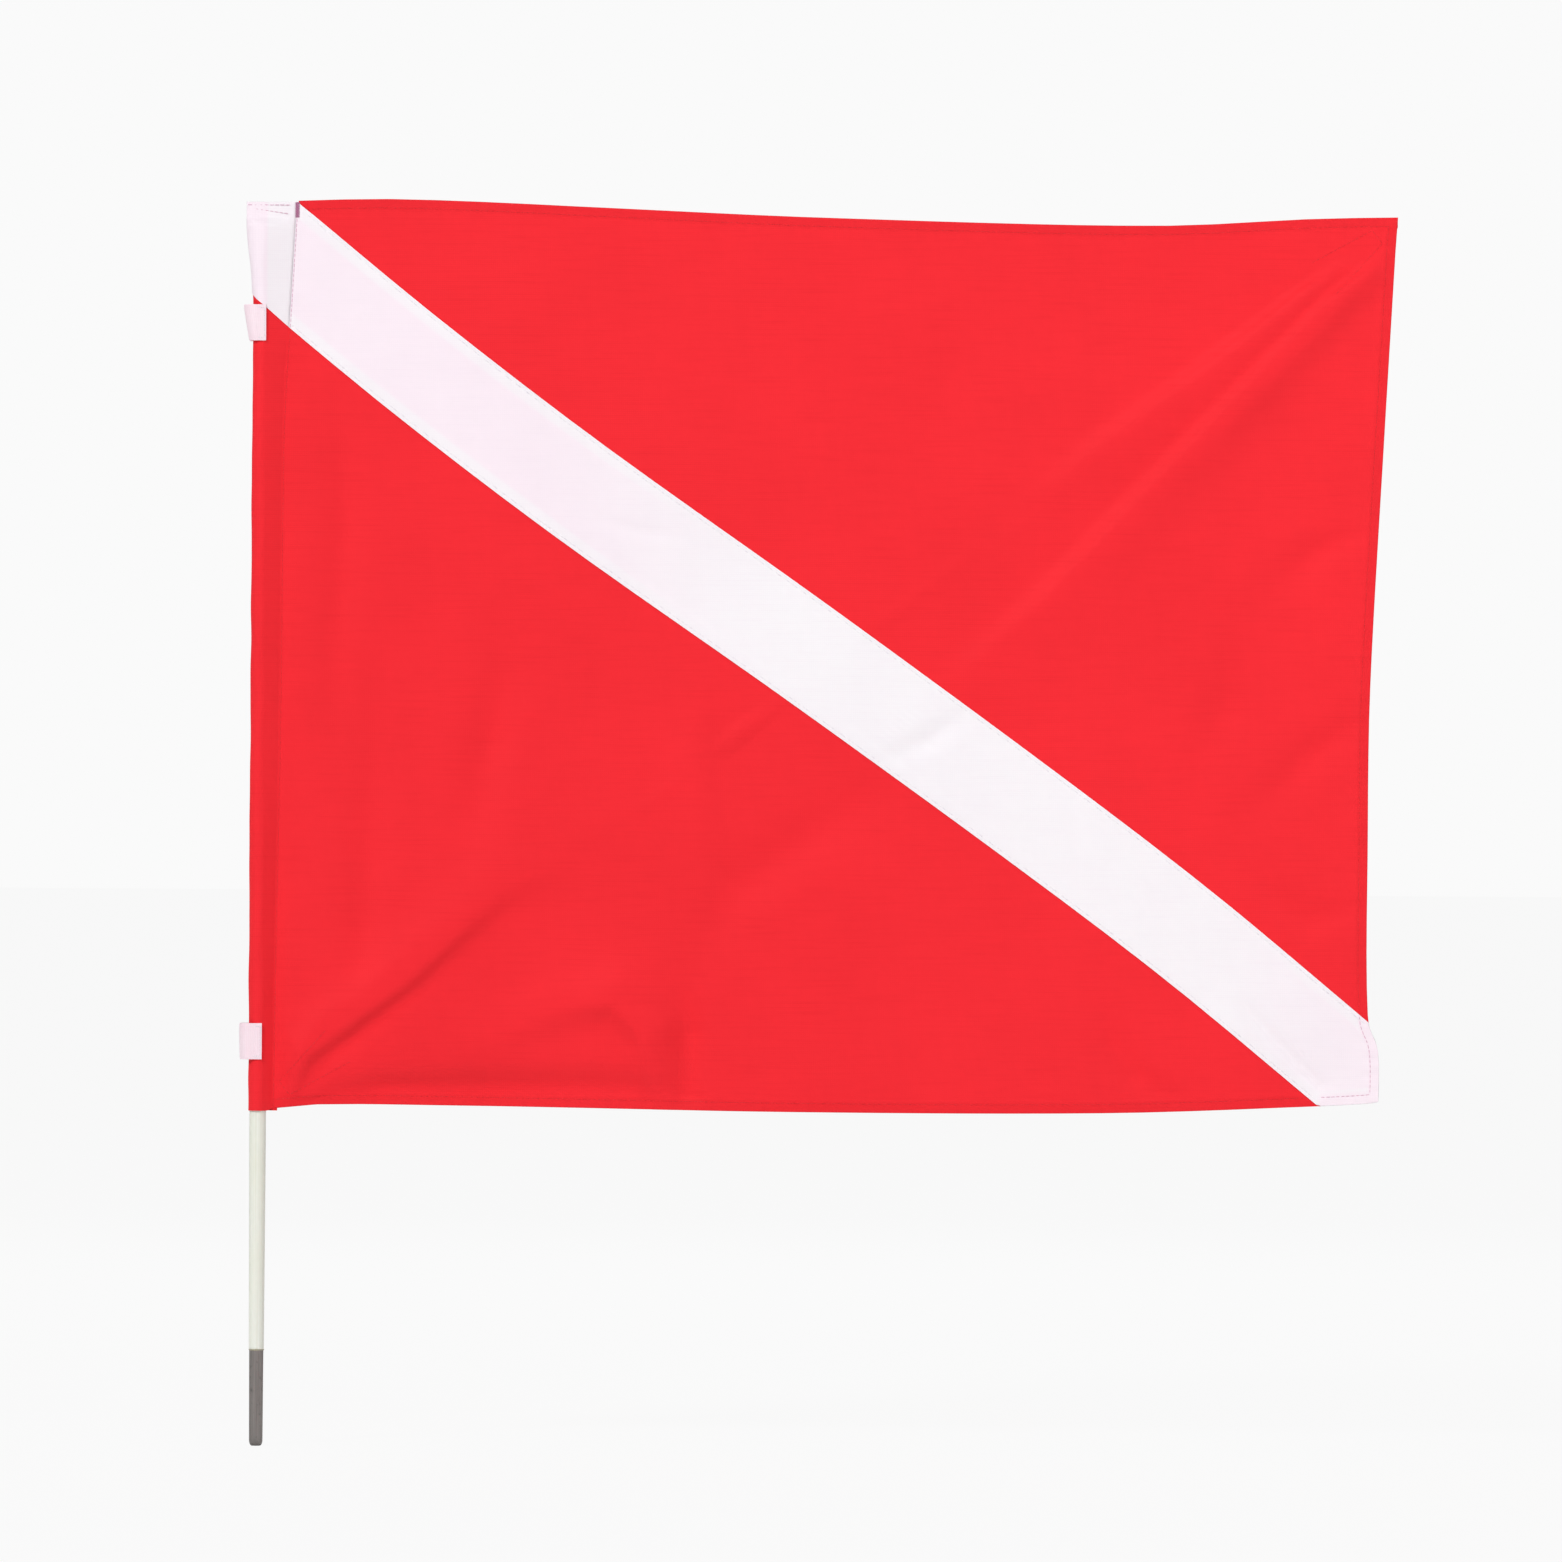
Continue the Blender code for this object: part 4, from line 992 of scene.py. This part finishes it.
# The hem goes on over the stripe's end, where the thread shows rose on the white.
end_run = run_up(STRIPE_FLY_Z + 3 * MM, FLY_FOOT_Z + STITCH_IN, fly_x, -STITCH_IN, 40)
end_x = float(fly_x(FLY_FOOT_Z + STITCH_IN)) - STITCH_IN
end_foot_run = run_across(end_x, TIP_LOW_X + 2 * MM, foot_z, STITCH_IN, 30)


def end_hem_back(x, z):
    return relief(x, z) + 3.2 * LAYER


runs = both_sides(end_run, stripe_front, end_hem_back) + both_sides(end_foot_run, stripe_front, end_hem_back)
thread_piece("stripe_end_stitches", runs, rose_thread, "rose_thread", "hem_stitching")

SEAM_OUT = 0.6 * MM
seam_cross = next(z for z in np.linspace(FLAG_TOP, FLAG_FOOT, 2000) if z < low_z(seam_x(z)))
# The stripe climbs on its way round the rod, so white meets red higher up behind.
white_radius, seam_high = SLEEVE_RADIUS + WHITE_OUT, float(seam_x(seam_cross))
way_round = 2 * math.sqrt(seam_high**2 - white_radius**2)
way_round += 2 * white_radius * (math.pi - math.acos(white_radius / seam_high))
back_cross = float(low_z(seam_high - way_round))


def red_seam_back(x, z):
    return relief(x, z) + LAYER + CLOTH / 2


def white_seam_back(x, z):
    return relief(x, z) + LAYER + WHITE_OUT + CLOTH / 2


def seam_run(start, end, surface, outward):
    """Stitches up the sleeve's seam between two heights."""
    return stitch_run(*evenly(run_up(start, end, seam_x, SEAM_OUT, 120), STITCH), surface, outward)


seam_foot, seam_head = FLAG_FOOT + 2 * MM, FLAG_TOP - 9 * MM
half_stitch = STITCH / 2
red_runs = [
    seam_run(seam_foot, seam_cross, cloth_front, -1),
    seam_run(seam_foot + half_stitch, back_cross - half_stitch, red_seam_back, 1),
]
white_runs = [
    seam_run(seam_cross, seam_head, stripe_front, -1),
    seam_run(back_cross + half_stitch, seam_head - half_stitch, white_seam_back, 1),
]
thread_piece("sleeve_seam_red_stitches", red_runs, red_thread, "red_thread", "sleeve_seam_stitching")
thread_piece("sleeve_seam_white_stitches", white_runs, rose_thread, "rose_thread", "sleeve_seam_stitching")
print("white meets red at the seam, mm:", round(seam_cross / MM, 1), "in front,", round(back_cross / MM, 1), "behind")

# %% Sleeve top seam and bar tack
low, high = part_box("sleeve_top_stitching")
top_front = -float(depth_y(FLAG_TOP - 3 * MM)) - 0.55 * MM
path = [(low.x - 1 * MM, high.z + 1.0 * MM), (high.x, high.z + 1.0 * MM)]
fold = [(low.x + 3 * MM, high.z - 1.2 * MM), (high.x - 1 * MM, high.z - 4.0 * MM)]
flat_sides = flat_at(top_front), flat_at(-top_front)
runs = both_sides(path, *flat_sides) + both_sides(fold, *flat_sides)
thread_piece("sleeve_top_stitches", runs, rose_thread, "rose_thread", "sleeve_top_stitching")
low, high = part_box("sleeve_top_bar_tack")
TACK_WIDTH = 2.6 * MM
tack_x = float(seam_x(FLAG_TOP - 5 * MM)) + 0.6 * MM
rungs = np.arange(low.z - 1.5 * MM, high.z + 0.8 * MM, 0.55 * MM)
starts = np.column_stack([np.full(len(rungs), tack_x - TACK_WIDTH / 2), rungs])
ends = starts + np.array([TACK_WIDTH, 0.25 * MM])
TACK_THREAD = 1.2 * THREAD
TACK_RISE = 0.1 * MM


def tack_front(x, z):
    return stripe_front(x, z) - TACK_RISE


def tack_back(x, z):
    return white_seam_back(x, z) + TACK_RISE


runs = [stitch_run(starts, ends, surface, way, TACK_THREAD, 1.0) for surface, way in ((tack_front, -1), (tack_back, 1))]
thread_piece("bar_tack", runs, deep_rose_thread, "rose_thread", "sleeve_top_bar_tack")

# %% [markdown]
# ## Webbing loops
# Each loop is a short length of narrow polyester webbing, folded round the sleeve's edge and sewn down, with its
# fold standing out as an eye. It could be an extruded band; a grid along the fold lets the woven ribs be real
# shape. The upper loop sits a little askew, so its eye is shorter at its lower side.

# %% Webbing
RIB_PITCH = 1.25 * MM
RIB_HEIGHT = 0.11 * MM
FILLING_PITCH = 0.8 * MM
ribbing = {"wave_type": "BANDS", "bands_direction": "X", "Scale": WAVE_UNIT / RIB_PITCH, "Distortion": 0.3}
filling = {"wave_type": "BANDS", "bands_direction": "Y", "Scale": WAVE_UNIT / FILLING_PITCH, "Distortion": 0.6}
webbing = new_material(
    "white_polyester_webbing",
    {"IOR": 1.57, "Sheen Weight": 0.1, "Specular IOR Level": 0.25},
    {
        "cut": ("Attribute", {"attribute_name": "cut"}, {}),
        "ribs": ("TexWave", ribbing, {"Vector": "cut.Vector"}),
        "yarns": ("TexWave", filling, {"Vector": "cut.Vector"}),
        "soil": ("TexNoise", {"Scale": 90.0, "Detail": 3.0}, {"Vector": "cut.Vector"}),
        "weave": ("Math", {"operation": "MULTIPLY"}, {0: "ribs.Fac", 1: "yarns.Fac"}),
        "pale": ("Mix", {"data_type": "RGBA", 6: linear("#f0dfe7"), 7: linear("#f8eef3")}, {0: "weave.0"}),
        "colour": ("Mix", {"data_type": "RGBA", 7: linear("#f2d8e2")}, {0: "soil.Fac", 6: "pale.2"}),
        "rough": ("MapRange", {"To Min": 0.85, "To Max": 0.65}, {"Value": "weave.0"}),
        "bump": ("Bump", {"Strength": 0.4, "Distance": 0.08 * MM}, {"Height": "weave.0"}),
    },
)


# %% The two loops
def line_loop(name, node, short_at_foot):
    """Webbing folded in a U round the sleeve's edge; short_at_foot is the eye's reach there as a share. Gives the
    Y of its front."""
    low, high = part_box(node)
    thick = 0.7 * MM
    radius = (high.y - low.y) / 2 - thick / 2
    centre = low.x + thick / 2 + radius
    straight = np.linspace(high.x, centre, 9)
    angles = np.linspace(math.pi / 2, 3 * math.pi / 2, 31)[1:-1]
    u_x = np.concatenate([straight, centre + radius * np.cos(angles), straight[::-1]])
    u_y = np.concatenate([np.full(9, -radius), -radius * np.sin(angles), np.full(9, radius)])
    way = np.concatenate([[0], np.cumsum(np.hypot(np.diff(u_x), np.diff(u_y)))])
    fine = np.linspace(0, way[-1], int(way[-1] / (RIB_PITCH / 5)))
    x, y = np.interp(fine, way, u_x), np.interp(fine, way, u_y)
    normal_x, normal_y = -np.gradient(y), np.gradient(x)
    size = np.hypot(normal_x, normal_y)
    normal_x, normal_y = normal_x / size, normal_y / size
    middle_rows = np.linspace(low.z + 0.8 * MM, high.z - 0.8 * MM, 22)
    z = np.concatenate([[low.z, low.z + 0.25 * MM], middle_rows, [high.z - 0.25 * MM, high.z]])
    selvedge = np.minimum(ramp((z - low.z) / (0.9 * MM)), ramp((high.z - z) / (0.9 * MM)))
    rib = RIB_HEIGHT * np.sin(math.pi * fine / RIB_PITCH) ** 2
    lift = -(0.12 * MM * (1 - selvedge[:, None])) + rib[None, :] * selvedge[:, None]
    share = (z - low.z) / (high.z - low.z)
    reach = short_at_foot + (1 - short_at_foot) * share
    bow = 0.35 * MM * np.sin(math.pi * share)[:, None] * np.sin(math.pi * fine / fine[-1])[None, :] ** 2
    grid_x = high.x + (x[None, :] - high.x) * reach[:, None] + normal_x[None, :] * (lift + bow * 0.3)
    grid_y = y[None, :] * (1 - 0.02 * share[:, None]) + normal_y[None, :] * lift
    points = np.stack([grid_x, grid_y, np.broadcast_to(z[:, None], grid_x.shape)], axis=-1)
    cut = np.stack(np.broadcast_arrays(fine[None, :], z[:, None]), axis=-1)
    thing = sheet_piece(name, [(points, cut, np.zeros(grid_x.shape))], thick - 0.15 * MM)
    dress(thing, webbing, "webbing", node)
    return -radius - thick / 2


LOOPS = (
    ("upper_webbing_loop", "upper_line_loop", 0.74, "upper_loop_stitches", "upper_loop_stitching"),
    ("lower_webbing_loop", "lower_line_loop", 0.97, "lower_loop_stitches", "lower_loop_stitching"),
)
for name, node, short, thread_name, thread_node in LOOPS:
    front = line_loop(name, node, short)
    low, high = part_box(thread_node)
    near, far = high.x - THREAD / 2, low.x + THREAD / 2
    box_path = [(far, low.z), (near, low.z), (near, high.z), (far, high.z)]
    runs = []
    for a, b in zip(box_path, box_path[1:]):
        runs += both_sides([a, b], flat_at(front), flat_at(-front))
    thread_piece(thread_name, runs, white_thread, "white_thread", thread_node)

# %% [markdown]
# ## Corner pockets on the back
# Two patches of the red cloth are sewn across corners of the flag, and hold the stiffener's capped ends. The CAD
# pocket already has the arch over the tip. The patch here is laid over it by touch: a feeler from behind finds the
# CAD surface on a fine grid, and small gathers are added. Its mouth has a turned edge.

# %% Pockets
STIFFENER_WAY = Vector((STIFFENER_HIGH[0] - STIFFENER_LOW[0], 0, STIFFENER_HIGH[1] - STIFFENER_LOW[1])).normalized()
BACK_OF_FLAG = 0.55 * MM
POCKET_BACK = 1.05 * MM
PATCH_ROWS, PATCH_COLUMNS = 44, 45
ARCH_GATHER, FLAT_GATHER = 0.22 * MM, 0.12 * MM
RIM_RISE, MOUTH_RISE = 0.16 * MM, 0.30 * MM
SEAM_INSET = 1.6 * MM


def corner_pocket(name, node, thread_name, thread_node, toward):
    """A patch over the CAD pocket: rows from its shut end to its mouth, columns across it."""
    faces = faces_of(node)
    corners = np.array([v.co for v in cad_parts[node].data.vertices])
    way = np.array([toward.x, toward.z])
    side = np.array([-way[1], way[0]])
    run, across = corners[:, [0, 2]] @ way, corners[:, [0, 2]] @ side
    shut_end = across[run < run.min() + 0.5 * MM]
    middle = (shut_end.max() + shut_end.min()) / 2
    start, end = run.min() + 0.15 * MM, run.max() - 0.15 * MM
    narrow = np.abs(shut_end - middle).max()
    wide = np.abs(across - middle).max()
    rows, columns = np.linspace(start, end, PATCH_ROWS), np.linspace(-1, 1, PATCH_COLUMNS)
    share = (rows - start) / (end - start)
    half_width = narrow + (wide - narrow) * share - 0.15 * MM
    a = middle + columns[None, :] * half_width[:, None]
    r = np.broadcast_to(rows[:, None], a.shape)
    x, z = r * way[0] + a * side[0], r * way[1] + a * side[1]
    y = np.zeros(x.shape)
    for i in np.ndindex(x.shape):
        place = feel(faces, (x[i], 0.05, z[i]), (0, -1, 0))
        y[i] = place.y if place else BACK_OF_FLAG
    gathers = np.sin(a / MM * 1.9 + 1.3 * np.sin(r / MM / 6)) * np.sin(r / MM / 3.1 + a / MM / 2.3)
    arch = ramp((y - 1.0 * MM) / (1.5 * MM))
    y = y + ARCH_GATHER * gathers * arch + FLAT_GATHER * gathers * (1 - arch)
    y = np.maximum(y, 0.62 * MM)
    edge = np.minimum.reduce([half_width[:, None] * (1 - np.abs(columns))[None, :], r - start])
    rim = RIM_RISE * ramp((3.4 * MM - edge) / (0.5 * MM))
    mouth = MOUTH_RISE * ramp((3.0 * MM - (end - r)) / (0.5 * MM))
    points = np.stack([x, y + rim + mouth, z], axis=-1)
    thing = sheet_piece(name, [(points, np.stack([r, a], axis=-1), np.ones(x.shape))], CLOTH)
    dress(thing, red_nylon, "red_nylon", node)
    left = points[3:, 0][:, [0, 2]] + side * SEAM_INSET
    right = points[3:, -1][:, [0, 2]] - side * SEAM_INSET
    shut = points[3, 6:39][:, [0, 2]]
    runs = []
    for path in (left, right, shut):
        starts, ends = evenly(path, STITCH)
        runs.append(stitch_run(starts, ends, flat_at(POCKET_BACK), 1))
        runs.append(stitch_run(starts, ends, cloth_front, -1))
    thread_piece(thread_name, runs, red_thread, "red_thread", thread_node)
    return thing


pockets = [
    corner_pocket(
        f"{end}_pocket_patch", f"{end}_corner_pocket", f"{end}_pocket_stitches", f"{end}_pocket_stitching", toward
    )
    for end, toward in (("lower", STIFFENER_WAY), ("upper", -STIFFENER_WAY))
]

# %% [markdown]
# ## Pole, ferrule, stiffener and caps
# The rod is pultruded glass fibre in polyester resin: pale straw green, with glass rovings that run its length
# under a smooth resin skin. The ferrule is drawn mild steel, gone dull, with draw marks along it and a tip
# darkened with painted shade. Both shapes are right in the CAD model, so those nodes stay and only get these finishes.


# %% Pole materials
def lengthwise(label, across, along, detail=4.0):
    """Table rows for noise drawn out along Z, from object coordinates."""
    return {
        label + "_way": ("Mapping", {"Scale": (across, across, along)}, {"Vector": "place.Object"}),
        label: ("TexNoise", {"Scale": 1.0, "Detail": detail}, {"Vector": label + "_way.0"}),
    }


def fibreglass(name, code, deeper):
    """Pultruded glass fibre: rovings about 0.5 mm wide along the rod, in a satin resin."""
    table = {
        "place": ("TexCoord", {}, {}),
        **lengthwise("rovings", 1800.0, 9.0),
        **lengthwise("clouds", 60.0, 22.0, 2.0),
        "streaks": ("MapRange", {"From Min": 0.38, "From Max": 0.7, "To Max": 0.75}, {"Value": "rovings.Fac"}),
        "first": ("Mix", {"data_type": "RGBA", 6: linear(code), 7: linear(deeper)}, {0: "streaks.0"}),
        "cloudy": ("MapRange", {"From Min": 0.45, "From Max": 0.8, "To Max": 0.35}, {"Value": "clouds.Fac"}),
        "colour": ("Mix", {"data_type": "RGBA", 7: linear("#dfe3c8")}, {0: "cloudy.0", 6: "first.2"}),
        "rough": ("MapRange", {"To Min": 0.34, "To Max": 0.52}, {"Value": "rovings.Fac"}),
        "bump": ("Bump", {"Strength": 0.25, "Distance": 0.03 * MM}, {"Height": "rovings.Fac"}),
    }
    return new_material(name, {"IOR": 1.54, "Coat Weight": 0.15, "Coat Roughness": 0.35}, table)


def drawn_steel(name, code, deeper):
    """Drawn steel gone dull: marks along the drawing, and a tip darkened with painted shade."""
    table = {
        "place": ("TexCoord", {}, {}),
        **lengthwise("marks", 2600.0, 30.0, 5.0),
        **lengthwise("spots", 420.0, 300.0, 3.0),
        "parts": ("SeparateXYZ", {}, {"Vector": "place.Object"}),
        # Painted shade: the ferrule is drawn darker over its lowest 6 mm, towards its tip.
        "nose": ("MapRange", {"From Min": 6 * MM, "From Max": 0.0, "To Max": 0.55}, {"Value": "parts.Z"}),
        "worn": ("MapRange", {"From Min": 0.55, "From Max": 0.75, "To Max": 0.5}, {"Value": "spots.Fac"}),
        "lines": ("MapRange", {"From Min": 0.4, "From Max": 0.7, "To Max": 0.4}, {"Value": "marks.Fac"}),
        "some": ("Math", {"operation": "MAXIMUM"}, {0: "nose.0", 1: "worn.0"}),
        "share": ("Math", {"operation": "MAXIMUM"}, {0: "some.0", 1: "lines.0"}),
        "colour": ("Mix", {"data_type": "RGBA", 6: linear(code), 7: linear(deeper)}, {0: "share.0"}),
        "rough": ("MapRange", {"To Min": 0.36, "To Max": 0.58}, {"Value": "marks.Fac"}),
        "bump": ("Bump", {"Strength": 0.35, "Distance": 0.03 * MM}, {"Height": "marks.Fac"}),
    }
    return new_material(name, {"Metallic": 1.0}, table)


def dipped_vinyl(name, code, deeper, settings):
    """Dip-moulded PVC: a soft satin skin with faint orange peel."""
    table = {
        "place": ("TexCoord", {}, {}),
        **lengthwise("skin", 1500.0, 1500.0, 3.0),
        "colour": ("Mix", {"data_type": "RGBA", 6: linear(code), 7: linear(deeper)}, {0: "skin.Fac"}),
        "rough": ("MapRange", {"To Min": 0.4, "To Max": 0.6}, {"Value": "skin.Fac"}),
        "bump": ("Bump", {"Strength": 0.3, "Distance": 0.04 * MM}, {"Height": "skin.Fac"}),
    }
    return new_material(name, {"IOR": 1.53, **settings}, table)


# %% Finishes on the pole, the stiffener and the caps
straw_fibreglass = fibreglass("pultruded_fibreglass", "#e8ebe2", "#dcdfd0")
dull_steel = drawn_steel("drawn_steel_gone_dull", "#989390", "#5c5857")
FINISHES = {
    "pole_rod": straw_fibreglass,
    "stiffener_rod": straw_fibreglass,
    "pole_ferrule": dull_steel,
    "rod_tip_cap": dipped_vinyl("black_dipped_vinyl", "#161616", "#222222", {}),
    "stiffener_tip_lower": dipped_vinyl("milky_dipped_vinyl", "#dcdcd4", "#cfcfc4", {"Transmission Weight": 0.25}),
}
FINISHES["stiffener_tip_upper"] = FINISHES["stiffener_tip_lower"]
for node_name, finish in FINISHES.items():
    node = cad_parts[node_name]
    node.data.materials.clear()
    node.data.materials.append(finish)
print("finishes on", sorted(FINISHES))

# %% [markdown]
# ## The glue line
# The ferrule's stem is glued into the rod. A little epoxy squeezes out and stays as an uneven ring at the joint.

# %% Glue ring
GLUE_RADIUS = 4.28 * MM
GLUE_THICK = 0.34 * MM
joint_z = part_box("pole_rod")[0].z
glue = bmesh.new()
turns, rounds = 72, 12
rings = []
for i in range(turns):
    angle = 2 * math.pi * i / turns
    uneven = 1 + 0.25 * math.sin(3 * angle + 0.7) + 0.15 * math.sin(7 * angle)
    ring = []
    for k in range(rounds):
        turn = 2 * math.pi * k / rounds
        out = GLUE_RADIUS - 0.22 * MM + GLUE_THICK * uneven * math.cos(turn)
        up = joint_z - 0.1 * MM + GLUE_THICK * uneven * math.sin(turn)
        ring.append(glue.verts.new((out * math.cos(angle), out * math.sin(angle), up)))
    rings.append(ring)
for i in range(turns):
    for k in range(rounds):
        one, two = rings[i], rings[(i + 1) % turns]
        glue.faces.new((one[k], two[k], two[(k + 1) % rounds], one[(k + 1) % rounds]))
bmesh.ops.recalc_face_normals(glue, faces=glue.faces)
glue_mesh = bpy.data.meshes.new("glue_ring")
glue.to_mesh(glue_mesh)
glue.free()
glue_mesh.shade_smooth()
gloss = {"Coat Weight": 0.4, "Coat Roughness": 0.2}
glue_mesh.materials.append(dipped_vinyl("cured_epoxy", "#b9b39a", "#99937c", gloss))
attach(new_object("glue_ring", glue_mesh), "pole")

# %% [markdown]
# ## What the two red panels were cut from
# The flat sizes are those of the cloth before sewing: the panel, its hems, and what goes round the rod.

SLEEVE_TURN = 18 * MM
sleeve_cloth = 2 * math.pi * SLEEVE_RADIUS + SLEEVE_TURN
lower_cut = (TIP_LOW_X + LAP + sleeve_cloth, float(low_z(-0.03)) - FLAG_FOOT + LAP + HEM)
upper_cut = (float(fly_x(UPPER_FLY_Z)) - TIP_HIGH_X + HEM, float(top_z(NEAR_FLY_X)) - STRIPE_FLY_Z + LAP + HEM)
